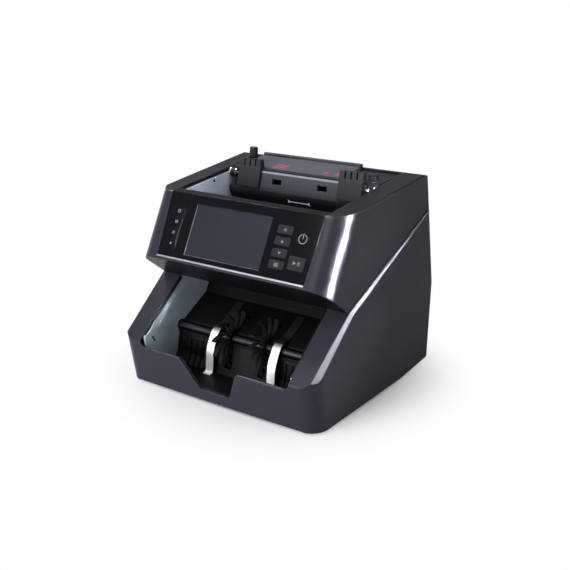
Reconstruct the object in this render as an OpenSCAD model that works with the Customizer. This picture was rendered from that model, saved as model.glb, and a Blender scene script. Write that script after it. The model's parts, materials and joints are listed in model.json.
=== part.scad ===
// Desktop banknote counter: a hopper on top, a leaning control head and a stacker pocket in front.
// Millimetres. X runs to the right, Y to the back and Z up. The origin is on the floor under the middle.

/* [Housing] */
// Overall width across the lower housing
body_w = 280; // [272:1:310]
// Overall depth from the rounded lip to the rounded belly of the back
body_d = 280; // [274:1:310]
// Height of the feet under the housing
foot_h = 3; // [2:0.5:5]
// Wall of the moulded shells
wall = 2.5; // [2:0.1:3]
// Height of the lip corner at the foot of the pillars
lip_z = 61; // [57:1:66]
// Setback of the bottom front edge behind the lip
lip_lean = 10.5; // [6:0.5:14]
// Height of the lip between the pillars
lip_top_z = 53; // [44:1:54]
// Thickness of the lip
lip_t = 5.5; // [4:0.5:6]
// Depth from the lip to the neck under the head
neck_run = 78; // [74:1:82]
// Height of the neck under the head
neck_z = 124; // [120:1:128]
// Depth from the lip to the chin of the head
chin_run = 32.2; // [28:0.2:38]
// Height of the chin of the head
chin_z = 158; // [154:1:162]
// Depth from the lip to the brow of the head
brow_run = 70.4; // [67:0.2:74]
// Height of the brow of the head
brow_z = 232; // [228:1:236]
// Height of the roof at the back
roof_z = 251.6; // [248:0.2:256]
// Step of the roof edge in front of the belly of the back
roof_step = 26.7; // [22:0.1:32]
// Height of the belly of the back
belly_z = 109; // [95:1:120]
// Height where the crease meets the back
crease_z = 208; // [198:1:214]
// Rise of the bottom edge at the back
tail_rise = 6; // [3:0.5:9]
// Step of the bottom back edge in front of the belly
tail_step = 4; // [2:0.5:8]
// Depth from the belly forward to where the bottom starts to rise
tail_run = 78; // [66:1:90]
// Corner radius of the lower housing in plan
lower_round = 22; // [14:1:28]
// Corner radius of the head in plan
head_round = 24; // [16:1:28]
// Corner radius of the back corners
back_round = 9; // [5:0.5:14]
// Radius along the outer edge of the rails
rail_round = 3; // [1:0.5:9]
// Radius along the top of the lip
lip_round = 7; // [4:0.5:9]
// Radius along the belly of the back
belly_round = 60; // [30:5:90]
// Radius along the roof edge at the back
roof_round = 11; // [6:0.5:14]
// Step of the head side inside the lower housing at the front
head_step = 5; // [4:0.5:7]
// Step of the head side inside the lower housing at the back
head_step_back = 1.2; // [0.8:0.1:3]
// Width of the chamfer along the pillar edge at the lip
chamfer_front = 6.5; // [5:0.5:8]

/* [Openings] */
// Width of a pillar and of the rail above it
pillar_w = 31; // [28:0.5:34]
// Distance from the middle to the left top corner of the lip notch
notch_top_x = 48; // [38:1:54]
// Distance from the middle to the right top corner of the lip notch
notch_right_x = 36; // [32:1:46]
// Half width of the lip notch at the bottom
notch_low_x = 22; // [14:1:30]
// Height of the bottom of the lip notch
notch_z = 18; // [17:0.5:26]
// Radius at the top corners of the lip notch
notch_round = 6; // [3:0.5:8]
// Radius between the lip and a pillar
lip_corner = 8; // [4:0.5:8]
// Depth from the lip to the front edge of the hopper
hopper_run = 82; // [79:0.5:85]
// Step of the rear hatch inside the rails
hatch_step = 6; // [4:0.5:12]
// Height of the lower edge of the rear hatch
hatch_z = 45; // [44:0.5:60]
// Depth of the fold of the rear hatch over the roof
hatch_fold = 12; // [11.5:0.5:16]

/* [Control panel] */
// Thickness of the fascia
fascia_t = 2.5; // [2:0.1:3]
// Taper of the fascia half width from the brow to the trim
fascia_taper = 4; // [2:0.5:6]
// Distance from the chin up to the fascia
fascia_s = 5; // [4.8:0.1:6]
// Width of the display window
lcd_w = 108; // [95:1:112]
// Height of the display window
lcd_h = 60; // [52:1:62]
// Sideways place of the display window
lcd_x = -11; // [-13:0.5:-9]
// Height of the window centre along the panel
lcd_s = 41; // [40:0.5:42]
// Width of a right menu key
key_w = 20; // [14:0.5:21]
// Height of a menu key
key_h = 9; // [7:0.5:10]
// Pitch of the menu keys
key_pitch = 13.3; // [12.6:0.1:14]
// Height of the lowest menu key along the panel
key_s = 20.8; // [20.4:0.2:22]
// Distance of the left keys from the fascia edge
left_key_in = 15.5; // [14:0.5:17]
// Width of a left menu key
left_key_w = 16; // [12:0.5:18]
// Distance of the power and start keys from the fascia edge
side_key_in = 16; // [15:0.5:17]
// Distance from the power key to the right menu keys
key_gap = 25; // [24:0.5:26]
// Diameter of the power key
power_d = 17; // [12:0.5:18]
// Height of the power key along the panel
power_s = 54.8; // [52:0.2:57]
// Width of the start key
start_w = 21; // [18:0.5:22]
// Height of the start key
start_h = 15; // [12:0.5:17]
// Height of the start key along the panel
start_s = 26; // [25:0.5:30]
// Height of a key above the fascia
key_proud = 0.5; // [0.4:0.1:1.2]
// Travel of a key
key_travel = 0.6; // [0.3:0.1:0.8]
// Height of the bright trim under the fascia
trim_h = 1.8; // [1.5:0.1:2.8]

/* [Frame and stacker] */
// Thickness of the steel side plates
plate_t = 1.5; // [1:0.1:2]
// Step of the side plates inside the pillars
plate_step = 2; // [1.8:0.1:3]
// Thickness of the base pan
pan_t = 1.5; // [1:0.1:2]
// Diameter of the tie rods
rod_d = 8; // [6:0.5:9]
// Height of the stacker floor
floor_z = 16; // [14:0.5:16.5]
// Thickness of the stacker floor
floor_t = 2.5; // [2:0.1:3]
// Depth from the lip to the stacker wheel shaft
wheel_run = 74; // [72:0.5:78]
// Height of the stacker wheel shaft
wheel_z = 60; // [58:0.5:63]
// Radius of the stacker wheels
wheel_r = 36; // [30:0.5:38]
// Sideways place of the stacker wheels
wheel_x = 25; // [25:0.5:30]
// Width of a stacker wheel
wheel_w = 6; // [6:0.5:11]
// Number of vanes on a stacker wheel
vane_count = 12; // [8:1:14]
// Thickness of a vane
vane_t = 1.2; // [1.2:0.1:2]
// Radius of curvature of a vane
vane_r = 24; // [22:0.5:28]
// Thickness of the stacker back
back_t = 3; // [2:0.1:3.5]
// Sideways place of the polished strips
strip_x = 46; // [44:0.5:50]
// Width of a polished strip
strip_w = 11; // [8:0.5:12]
// Thickness of a polished strip
strip_t = 0.8; // [0.6:0.1:1.2]
// Number of ribs beside each strip
rib_count = 4; // [2:1:5]
// Pitch of the ribs
rib_pitch = 9; // [6:0.5:9]
// Height of the ribs
rib_h = 2; // [1:0.1:2.5]

/* [Hopper] */
// Drop from the brow to the hopper floor at its front
floor_drop = 15; // [13:0.5:18]
// Fall of the hopper floor per unit of depth
floor_fall = 0.25; // [0.24:0.01:0.28]
// Thickness of the hopper floor
hopper_t = 3; // [2:0.1:4]
// Depth from the lip to the foot of the gate face
gate_run = 176; // [174:1:178]
// Drop from the roof to the top of the gate
gate_drop = 7.6; // [7:0.2:10]
// Height of the gate face
gate_h = 23; // [21:0.5:24]
// Lean of the gate face over its height
gate_lean = 6; // [4:0.5:7]
// Thickness of the gate
gate_t = 4; // [3.6:0.1:5]
// Nose radius of the gate
nose_r = 28; // [25:0.5:29]
// Step of the gate face inside the side plates at the top
gate_step = 15; // [14:0.5:16]
// Sideways place of the gate windows
window_x = 33.6; // [28:0.2:38]
// Width of a gate window
window_w = 14; // [8:0.5:14]
// Height of a gate window
window_h = 7; // [4:0.5:7]
// Distance of a note guide from its side plate at rest
guide_in = 16; // [16:0.5:20]
// Width of a note guide
guide_w = 33; // [28:0.5:34]
// Height of the note guides above the gate
guide_rise = 14; // [11:0.5:16]
// Thickness of a note guide in front of the gate
guide_t = 4.5; // [3.5:0.5:6]
// Radius of the pick-up rollers
pick_r = 12; // [10:0.5:13]
// Depth from the lip to the pick-up shaft
pick_run = 142; // [138:1:146]
// Radius of the feed rollers
feed_r = 18; // [16:0.5:18.5]
// Depth from the lip to the feed shaft
feed_run = 198; // [196:1:202]
// Height that the rollers stand out of the hopper floor
roller_proud = 2.5; // [1.5:0.1:3]
// Sideways place of the rollers
roller_x = 33; // [30:0.5:40]
// Width of a roller
roller_w = 20; // [16:0.5:22]
// Distance of the release lever from the left side plate
lever_x = 25; // [22:1:36]
// Width of the release lever
lever_w = 9; // [6:0.5:10]
// Height of the release lever above its pivot
lever_h = 31; // [26:1:34]
// Distance of the gap screw from the right side plate
screw_in = 11; // [10:0.5:14]
// Diameter of the gap screw knob
knob_d = 10; // [8:0.5:12]

/* [Drive] */
// Shaft diameter
shaft_d = 8; // [6:0.5:8.5]
// Radius of the transport drum
drum_r = 28; // [24:0.5:28.5]
// Sideways place of the drum wheels
drum_x = 48; // [44:0.5:55]
// Width of a drum wheel
drum_w = 26; // [20:0.5:30]
// Radius of a small pulley
pulley_r = 9; // [8:0.5:10]
// Radius of the drum pulley
drum_pulley_r = 18; // [15:0.5:20]
// Width of a pulley
pulley_w = 8; // [6:0.5:8.5]
// Thickness of a belt
belt_t = 1.5; // [1:0.1:2]
// Diameter of the main motor
motor_d = 46; // [36:1:48]
// Length of the main motor
motor_l = 70; // [60:1:80]
// Diameter of the stacker motor
small_motor_d = 34; // [28:1:36]
// Length of the stacker motor
small_motor_l = 48; // [40:1:54]
// Diameter of a motor shaft
motor_shaft_d = 5; // [4:0.5:6]

/* [Power] */
// Width of the power supply
psu_w = 100; // [80:1:104]
// Depth of the power supply
psu_d = 56; // [40:1:58]
// Height of the power supply
psu_h = 36; // [26:1:38]
// Width of the mains inlet
inlet_w = 27; // [26:0.5:29]
// Height of the mains inlet
inlet_h = 20; // [19:0.5:21]
// Distance of the mains inlet from the middle
inlet_x = 66; // [58:1:74]
// Width of the switch frame
switch_w = 20; // [19:0.5:22]
// Height of the switch frame
switch_h = 13; // [12.5:0.5:15]
// Distance of the switch from the middle
switch_x = 26; // [18:1:32]

/* [Fits] */
// Running clearance of a shaft in its bush
run_gap = 0.05; // [0.03:0.01:0.08]
// Clearance of a fixed pin or bush in its hole
seat_gap = 0.03; // [0.02:0.01:0.05]
// Gap around a moving or inset piece
fit_gap = 0.3; // [0.2:0.05:0.4]

/* [Hidden] */
$fn = 64;

housing_color = "#2b2c34";
black_color = "#17181c";
key_color = "#2e3036";
steel_color = "#8f96a2";
chrome_color = "#d4d6da";
rubber_color = "#1d1d1f";
board_color = "#1f4a33";

// Longer than any piece, for cutters
far = 600;
half_w = body_w / 2;

// The rounded lip and belly lie on the overall depth, and the sharp corners a little outside it
lip_over = overhang([lip_lean, foot_h - lip_z], [neck_run, neck_z - lip_z], lip_round);
belly_over =
    overhang([-tail_step, foot_h + tail_rise - belly_z], [-roof_step, roof_z - belly_z], belly_round);
front_y = -body_d / 2 - lip_over;
back_y = body_d / 2 + belly_over;

// Outline points in the side view, as depth and height
lip_p = [front_y, lip_z];
toe_p = [front_y + lip_lean, foot_h];
neck_p = [front_y + neck_run, neck_z];
chin_p = [front_y + chin_run, chin_z];
brow_p = [front_y + brow_run, brow_z];
roof_p = [back_y - roof_step, roof_z];
belly_p = [back_y, belly_z];
crease_p = belly_p + (roof_p - belly_p) * (crease_z - belly_z) / (roof_z - belly_z);
tail_p = [back_y - tail_step, foot_h + tail_rise];
keel_p = [back_y - tail_run, foot_h];
lower_pts = [toe_p, keel_p, tail_p, belly_p, crease_p, neck_p, lip_p];
lower_rounds = [2, 30, 8, belly_round, 0, 0, lip_round];
upper_pts = [neck_p, crease_p, roof_p, brow_p, chin_p];
upper_rounds = [0, 0, roof_round, 5, 2];

// Leans and lengths of the outline's sides
lip_angle = atan2(lip_lean, lip_z - foot_h);
panel_angle = atan2(brow_p[0] - chin_p[0], brow_z - chin_z);
panel_len = norm(brow_p - chin_p);
roof_angle = atan2(roof_z - brow_z, roof_p[0] - brow_p[0]);
back_low_angle = atan2(tail_step, belly_z - tail_p[1]);
back_high_angle = atan2(roof_step, roof_z - belly_z);
pillar_angle = atan2(neck_z - lip_z, neck_run);
pillar_len = norm(neck_p - lip_p);
crease_angle = atan2(crease_p[1] - neck_z, crease_p[0] - neck_p[0]);
crease_len = norm(crease_p - neck_p);

// The head's sides splay to the back, and the chamfer on the lower housing ends at their foot
head_flare = (head_step - head_step_back) / panel_depth(crease_p);
chamfer_neck = half_w - head_half(neck_p) - fit_gap;
chamfer_back = head_step_back - fit_gap;
pillar_taper = atan2(chamfer_front - chamfer_neck, pillar_len);
crease_taper = atan2(chamfer_neck - chamfer_back, crease_len);
rail_splay = atan2(head_half(roof_p) - head_half(brow_p), roof_p[0] - brow_p[0]);
ledge_x = half_w - head_step - 2 * wall;

// Openings, the lip between the pillars and the hatch
mouth_x = half_w - pillar_w;
lip_edge = 2.2;
lip_low_z = floor_z + fit_gap;
mouth_z = lip_top_z - lip_edge - 1;
hopper_y = front_y + hopper_run;
hatch_x = mouth_x - hatch_step;
hatch_front = roof_p[0] - hatch_fold;
hatch_low = hatch_z + fit_gap;
hatch_edge = [depth_at(tail_p, belly_p, hatch_low), hatch_low];
hinge_r = 2;
knuckle_r = hinge_r + 1.4;
knuckle_w = 12;
lug_w = 6;
hinge_p = hatch_edge + [-4.5, knuckle_r];
hatch_reach = norm(hatch_edge - hinge_p);

// Fascia, keys and boards
fascia_top_x = mouth_x;
fascia_low_x = fascia_top_x - fascia_taper;
left_key_x = left_key_in - fascia_low_x;
side_key_x = fascia_low_x - side_key_in;
right_key_x = side_key_x - key_gap;
key_round = 1.5;
key_flange = 1.2;
key_skirt = 1;
lens_inset = 0.2;
board_t = 1.6;
board_d = fascia_t + key_flange + key_travel + 0.4;
board_low = fascia_s + 4;
board_high = panel_len - 8;
boss_r = 2.2;
boss_x = fascia_low_x - 8;
boss_in = 2.5;

// Frame
plate_x = mouth_x - plate_step;
plate_out = plate_x + plate_t;
inner_x = plate_x - fit_gap;
pan_z = foot_h + wall;
pan_top = pan_z + pan_t;
pan_x = plate_x - 3;
pan_front = front_y + 26;
pan_back = keel_p[0] - 8;
pan_rim = 10;
pan_rib_y = [50, 80];
pan_rib_in = 30;
pan_rib_w = 6;
pan_rib_h = 1.5;
foot_x = half_w - 32;
foot_d = 18;
foot_in = 40;
foot_front = front_y + foot_in;
foot_back = keel_p[0] - foot_d;
screw_d = 7;
rod_r = rod_d / 2;
slope_gap = 2;
plate_pts =
    let (rear = inset(lower_pts, wall + 13), high = inset(upper_pts, wall + 3))
    let (slope = inset(lower_pts, slope_gap))
    [[slope[0][0] + lip_t, pan_top], [keel_p[0] - 6, pan_top], [rear[2][0] - 4, pan_top + tail_rise + 3],
     [rear[3][0], belly_z], [high[2][0] - 8, high[2][1]], [hopper_y + wall + 2, brow_z - wall],
     [hopper_y + wall + 2, slope[5][1]], slope[5], slope[6] + (lip_t + 1) * unit(slope[5] - slope[6])];
plate_rounds = [3, 6, 4, 6, 4, 2, 1, 2, 3];
eye_r = 1.6;
pocket_eyes = [lip_p + [24, -5.5], lip_p + [22, -2]];

// Shafts, in side view
shaft_r = shaft_d / 2;
bush_r = shaft_r + 3;
bush_flange = 2;
wheel_p = [front_y + wheel_run, wheel_z];
pick_p = [front_y + pick_run, hopper_z(front_y + pick_run) + roller_proud - pick_r];
feed_p = [front_y + feed_run, hopper_z(front_y + feed_run) + roller_proud - feed_r];
drum_p = feed_p + [-20, -43];
motor_p = drum_p + [36, -55];
small_motor_p = wheel_p + [76, -20];
shaft_points = [wheel_p, pick_p, feed_p, drum_p];
hopper_eyes = [pick_p + [5, 43], pick_p + [4, 39]];

// Pulleys, belts and motors
motor_shaft_r = motor_shaft_d / 2;
pulley_flange = 1.2;
flange_w = 1;
pulley_x = plate_out + bush_flange + 1;
outer_pulley_x = pulley_x + pulley_w;
belt_gap = 0.3;

// Stacker: the back is a line from the top of its slope down to the floor, measured from the wheel shaft
floor_dz = floor_z - wheel_z;
floor_rib_x = 80;
trough_r = shaft_r + 2;
back_line = [for (d = [[66, 58], [49, 30], [6, 6], [-3, -2], [-9, -32], [-16, floor_dz]]) wheel_p + d];
rib_line = [for (d = [[-5, -12], [-9, -32], [-16, floor_dz]]) wheel_p + d];
strip_bends = [[45, 27.8], [14, 10.5], [-4, 10], [-17, -14], [-19.5, floor_dz], [-26, floor_dz]];
strip_line = bent([for (d = strip_bends) wheel_p + d], [0, 14, 16, 40, 4, 0]);
strip_gap = 0.1;
slot_gap = 2;
rib_w = 2;
rib_start = strip_x + strip_w / 2 + 6;
hub_r = shaft_r + 5;
floor_back = back_line[5][0] - fit_gap;
floor_front =
    let (in = inset(lower_pts, wall))
    depth_at(in[0], in[6], floor_z - floor_t) + fit_gap;
exit_line = [neck_p + [8, 4], neck_p + [46, 1], neck_p + [60, 6], neck_p + [73, 27]];
exit_t = 2.5;

// Hopper gate, guides and cover
gate_z = roof_z - gate_drop;
gate_foot = [front_y + gate_run, gate_z - gate_h];
gate_top = [gate_foot[0] + gate_lean, gate_z];
gate_up = unit(gate_top - gate_foot);
gate_in = [gate_up[1], -gate_up[0]];
gate_x = plate_x - gate_step;
nose_c = gate_foot + [nose_r, 0];
gate_pin_p = gate_top - gate_up * 6 + gate_in * gate_t / 2;
gate_pin_r = 1.5;
gate_pin_in = 6;
boss_ring_r = 5;
boss_ring_w = 9;
guide_x = plate_x - guide_in - guide_w / 2;
guide_z = gate_z + guide_rise;
hook_y = gate_top[0] + gate_t + 0.8 + fit_gap;
cover_t = 2.5;
cover_front = [hook_y + 2 * fit_gap, gate_z + 1];
cover_back = [hatch_front - 1, roof_z - 3.5];
cover_up = unit(left_of(cover_back - cover_front));
cover_drop = 12;
plate_in = 6;
recess = 1.2;
top_plate_t = 1.4;
lid_left_in = 12;
lid_right_in = 53;
top_plate_x0 = lid_left_in - plate_x;
top_plate_x1 = plate_x - lid_right_in;
lid_rise = 4.8;
lid_bar_h = 8;
lid_bar_round = 2;
lever_pin_r = 1.5;
lever_mid = lever_x - plate_x;
lever_p = [cover_front[0] + 7.3, cover_front[1] - 6];
lever_slot_w = lever_w + 4 * fit_gap;
ear_t = 2.5;
ear_r = 3.5;
screw_x = plate_x - screw_in;
screw_y = cover_front[0] + 7;
screw_r = 2.5;
knob_h = 5;

// Power inlet and switch on the strip under the hatch
rear_z = tail_p[1] + 18;
rear_y = depth_at(tail_p, belly_p, rear_z);
rear_t = 2;
inlet_flange = 3;
inlet_l = 18;
switch_flange = 1.5;
switch_l = 12;
switch_wall = 1.5;
rocker_pin_r = 1;
rocker_tilt = 6;
psu_x = 5;
psu_in = 4;
main_board_size = [90, 56];

// Tie rods, in side view, clear of the stacker, the power supply and the mains inlet
rod_points = [wheel_p + [26, -34], [rear_y - inlet_l - 15.5, wheel_z - 30], feed_p + [22, 32]];

// Height of the hopper floor at depth y
function hopper_z(y) = brow_z - floor_drop - floor_fall * (y - hopper_y);
// Distance of side-view point p behind the panel
function panel_depth(p) = (p - chin_p) * [cos(panel_angle), -sin(panel_angle)];
// Half width of the head at side-view point p
function head_half(p) = half_w - head_step + head_flare * panel_depth(p);
// Depth of the line through a and b at height z
function depth_at(a, b, z) = a[0] + (b[0] - a[0]) * (z - a[1]) / (b[1] - a[1]);
function unit(v) = v / norm(v);
function left_of(v) = [-v[1], v[0]];
// Signed turn from angle a to angle b
function turn(a, b) = (b - a + 540) % 360 - 180;
function reversed(list) = [for (i = [len(list) - 1:-1:0]) list[i]];

// How far a corner with arms a and b stands out in depth past its rounding of radius r
function overhang(a, b, r) =
    let (u = unit(a), v = unit(b), half = acos(u * v) / 2)
    abs(unit(u + v)[0]) * r / sin(half) - r;

// Points that round corner p, which lies between a and b
function fillet(a, p, b, r, n = 8) =
    let (u = unit(a - p), v = unit(b - p), half = acos(u * v) / 2)
    let (c = p + unit(u + v) * r / sin(half))
    let (s = p + u * r / tan(half) - c, e = p + v * r / tan(half) - c)
    let (a0 = atan2(s[1], s[0]), sweep = turn(a0, atan2(e[1], e[0])))
    [for (i = [0:n]) c + r * [cos(a0 + sweep * i / n), sin(a0 + sweep * i / n)]];

// Closed outline with a radius at each corner
function rounded(pts, radii) =
    let (k = len(pts))
    [for (i = [0:k - 1])
        each radii[i] > 0
            ? fillet(pts[(i + k - 1) % k], pts[i], pts[(i + 1) % k], radii[i])
            : [pts[i]]];

// Open line with a radius at each bend
function bent(pts, radii) =
    [for (i = [0:len(pts) - 1])
        each radii[i] > 0 ? fillet(pts[i - 1], pts[i], pts[i + 1], radii[i]) : [pts[i]]];

// Closed anticlockwise outline drawn in by d
function inset(pts, d) =
    let (k = len(pts))
    [for (i = [0:k - 1])
        let (n1 = left_of(unit(pts[i] - pts[(i + k - 1) % k])))
        let (n2 = left_of(unit(pts[(i + 1) % k] - pts[i])))
        pts[i] + (n1 + n2) * d / (1 + n1 * n2)];

// Open line moved to its left by d
function beside(pts, d) =
    let (k = len(pts) - 1)
    [for (i = [0:k])
        let (n1 = left_of(unit(pts[max(i, 1)] - pts[max(i, 1) - 1])))
        let (n2 = left_of(unit(pts[min(i + 1, k)] - pts[min(i, k - 1)])))
        pts[i] + (n1 + n2) * d / (1 + n1 * n2)];

// Strip between an open line moved to its left by d0 and by d1
function strip(pts, d0, d1) = concat(beside(pts, d0), reversed(beside(pts, d1)));

// Radii of an outline drawn in by t
function inner_rounds(radii, t) = [for (r = radii) max(r - t, 0)];

// Side-view outline carried from x0 to x1
module slab(x0, x1) {
    translate([x0, 0, 0])
        rotate([90, 0, 90])
            linear_extrude(x1 - x0)
                children();
}

// Round bar along X through side-view point p
module bar(p, r, x0, x1) {
    translate([x0, p[0], p[1]])
        rotate([0, 90, 0])
            cylinder(r = r, h = x1 - x0);
}

// The same piece on the right and mirrored on the left
module both_sides() {
    children();
    mirror([1, 0, 0])
        children();
}

// Panel frame: X across, Y into the head and Z up along the panel
module on_panel() {
    translate([0, chin_p[0], chin_p[1]])
        rotate([-panel_angle, 0, 0])
            children();
}

// Outline drawn on the panel and carried from depth d0 to d1
module panel_slab(d0, d1) {
    on_panel()
        translate([0, d1, 0])
            rotate([90, 0, 0])
                linear_extrude(d1 - d0)
                    children();
}

// Rear frame: X across, Y out of the wall and Z up along the wall
module on_rear(x) {
    translate([x, rear_y, rear_z])
        rotate([-back_low_angle, 0, 0])
            children();
}

// Outline drawn on the rear wall and carried from depth d0 to d1 outwards
module rear_slab(x, d0, d1) {
    on_rear(x)
        translate([0, d1, 0])
            rotate([90, 0, 0])
                linear_extrude(d1 - d0)
                    children();
}

// Rectangle with four round corners
module rounded_rect(w, h, r) {
    union() {
        square([w - 2 * r, h], center = true);
        square([w, h - 2 * r], center = true);
        for (x = [-w / 2 + r, w / 2 - r], y = [-h / 2 + r, h / 2 - r])
            translate([x, y])
                circle(r, $fn = 32);
    }
}

// Plan outline with two round corners at its front edge, growing wider by flare to the back
module round_front(half, r, flare) {
    back = far * flare;
    union() {
        polygon([[-half, r], [half, r], [half + back, far], [-half - back, far]]);
        translate([-half + r, 0])
            square([2 * (half - r), r + 1]);
        for (x = [-half + r, half - r])
            translate([x, r])
                circle(r);
    }
}

// Long prism with round front corners, whose front edge runs through p and leans back by angle
module front_prism(p, angle, half, r, t, flare = 0) {
    translate([0, p[0], p[1]])
        rotate([-angle, 0, 0])
            translate([0, t, -far])
                linear_extrude(2 * far)
                    round_front(half - t, r - t, flare);
}

// Long prism with round back corners, whose back edge runs through p and leans back by angle
module back_prism(p, angle, t) {
    translate([0, p[0], p[1]])
        rotate([-angle, 0, 180])
            translate([0, t, -far])
                linear_extrude(2 * far)
                    round_front(half_w - t, back_round - t, 0);
}

// Everything under the roof and inside the right rail's rounded outer edge, drawn in by t
module rail_edge(t) {
    r = max(rail_round, t + 0.2);
    translate([head_half(brow_p), brow_p[0], brow_p[1]])
        rotate([roof_angle, 0, 0])
            rotate([90, 0, -rail_splay])
                linear_extrude(2 * far, center = true)
                    union() {
                        translate([-far, -far])
                            square([far - t, far - r]);
                        translate([-far, -far])
                            square([far - r, far - t]);
                        translate([-r, -r])
                            circle(r - t);
                    }
}

// Cutter that chamfers both outer edges along a line from p, c wide at p and narrowing by taper degrees
module edge_cut(p, angle, c, taper, length) {
    lead = 40;
    size = 60;
    both_sides()
        translate([half_w - c, p[0], p[1]])
            rotate([angle, 0, 0])
                rotate([0, 45, -taper])
                    translate([0, -lead, 0])
                        cube([size, length + 1.5 * lead, size]);
}

// Solid lower body with its chamfered crease, drawn in by t
module lower_form(t) {
    difference() {
        intersection() {
            slab(-half_w + t, half_w - t)
                polygon(rounded(inset(lower_pts, t), inner_rounds(lower_rounds, t)));
            front_prism(toe_p, -lip_angle, half_w, lower_round, t);
            back_prism(belly_p, -back_low_angle, t);
            back_prism(belly_p, back_high_angle, t);
        }
        edge_cut(lip_p, pillar_angle, chamfer_front + t * sqrt(2), pillar_taper, pillar_len);
        edge_cut(neck_p, crease_angle, chamfer_neck + t * sqrt(2), crease_taper, crease_len);
    }
}

// Solid head, rails and upper sides, drawn in by t
module upper_form(t) {
    intersection() {
        slab(-half_w + t, half_w - t)
            polygon(rounded(inset(upper_pts, t), inner_rounds(upper_rounds, t)));
        front_prism(chin_p, panel_angle, half_w - head_step, head_round, t, head_flare);
        back_prism(belly_p, back_high_angle, t);
        rail_edge(t);
        mirror([1, 0, 0])
            rail_edge(t);
    }
}

// Opening for the rear hatch, hollowed at its lower edge so that the hatch can turn
module hatch_opening() {
    in = inset(lower_pts, 12);
    x = hatch_x + fit_gap;
    union() {
        slab(-x, x)
            polygon([[in[3][0], hatch_z], [back_y + 20, hatch_z], [back_y + 20, roof_z + 20],
                     [hatch_front - fit_gap, roof_z + 20], [hatch_front - fit_gap, roof_z - 8],
                     [in[4][0], roof_z - 30], [in[3][0], belly_z]]);
        bar(hinge_p, hatch_reach + fit_gap, -x, x);
    }
}

// Side-view section of the lip, with rounded top edges
function lip_section() =
    let (low = depth_at(toe_p, lip_p, lip_low_z), high = depth_at(toe_p, lip_p, lip_top_z))
    rounded([[low, lip_low_z], [low + lip_t, lip_low_z], [high + lip_t, lip_top_z], [high, lip_top_z]],
            [0, 0, lip_edge, lip_edge]);

// Front outline of the lip notch, which runs out into the top of the lip on both sides
function notch_outline() =
    let (over = 2 * notch_round, left = -notch_top_x, right = notch_right_x, top = lip_top_z)
    rounded([[-notch_low_x, notch_z], [notch_low_x, notch_z], [right, top], [right + over, top],
             [right + over, top + over], [left - over, top + over], [left - over, top], [left, top]],
            [notch_round / 2, notch_round / 2, notch_round, 0, 0, 0, 0, notch_round]);

// Front-view outline carried forward from depth y
module front_cut(y) {
    translate([0, y, 0])
        rotate([90, 0, 0])
            linear_extrude(far / 10)
                children();
}

// Corner of the front wall that rises in a curve from the lip to the right pillar
module lip_web() {
    x = mouth_x - lip_corner;
    front_cut(front_y + lip_t + 2)
        difference() {
            translate([x, mouth_z - 1])
                square([lip_corner + 1, lip_top_z + lip_corner - mouth_z + 1]);
            translate([x, lip_top_z + lip_corner])
                circle(lip_corner);
        }
}

// Lower shell: lip, pillars, sides, back and the ledge under the crease
module lower_housing() {
    in = inset(lower_pts, wall);
    along = unit(crease_p - neck_p);
    up = left_of(along) * 9;
    open_front = neck_p + 6 * along;
    open_back = crease_p - (wall + 6) * along;
    color(housing_color)
        difference() {
            union() {
                difference() {
                    lower_form(0);
                    lower_form(wall);
                    // Open top under the upper housing, inside the ledge that carries it
                    slab(-ledge_x, ledge_x)
                        polygon([open_front - up, open_back - up, open_back + up, open_front + up]);
                    // Mouth between the pillars
                    difference() {
                        slab(-mouth_x, mouth_x)
                            polygon([[front_y - 20, mouth_z], [depth_at(in[2], in[3], mouth_z) - 30, mouth_z],
                                     [in[4][0] - 30, in[4][1]], [in[4][0] - 30, far], [front_y - 20, far]]);
                        both_sides()
                            lip_web();
                    }
                    // Opening in the bottom, closed by the pan
                    translate([-pan_x + pan_rim, pan_front + pan_rim, 0])
                        cube([2 * (pan_x - pan_rim), pan_back - pan_front - 2 * pan_rim, pan_z + 1]);
                    hatch_opening();
                    rear_slab(inlet_x, -10, 10)
                        square([inlet_w + 2 * fit_gap, inlet_h + 2 * fit_gap], center = true);
                    rear_slab(switch_x, -10, 10)
                        square([switch_w + 2 * fit_gap, switch_h + 2 * fit_gap], center = true);
                }
                slab(-mouth_x - 1, mouth_x + 1)
                    polygon(lip_section());
                // Lugs that hold the hinge pins
                both_sides()
                    slab(hatch_x + 3 * fit_gap, hatch_x + 3 * fit_gap + lug_w)
                        union() {
                            translate(hinge_p)
                                circle(knuckle_r);
                            translate([hinge_p[0], hinge_p[1] - knuckle_r])
                                square([hatch_edge[0] - hinge_p[0] - wall / 2, 2 * knuckle_r]);
                        }
            }
            front_cut(front_y + lip_lean + 20)
                polygon(notch_outline());
            both_sides()
                bar(hinge_p, hinge_r + seat_gap, hatch_x - 1, hatch_x + lug_w + 3);
        }
}

// Upper shell: head, rails, roof corners and upper sides
module upper_housing() {
    in = inset(upper_pts, wall);
    color(housing_color)
        difference() {
            upper_form(0);
            upper_form(wall);
            // Open bottom above the lower housing
            intersection() {
                slab(-half_w, half_w)
                    polygon([in[0] + [3, -20], in[1] + [-3, -20], in[1] + [-3, 6], in[0] + [3, 6]]);
                front_prism(chin_p, panel_angle, half_w - head_step, head_round, wall, head_flare);
            }
            // Hopper between the rails
            slab(-mouth_x - fit_gap, mouth_x + fit_gap)
                polygon([[hopper_y, brow_z - 12], [hatch_front - fit_gap, brow_z - 12],
                         [hatch_front - fit_gap, far], [hopper_y, far]]);
            // Seat of the fascia over the front and the brow
            panel_slab(-20, 20)
                fascia_outline(fit_gap);
            hatch_opening();
        }
}

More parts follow.
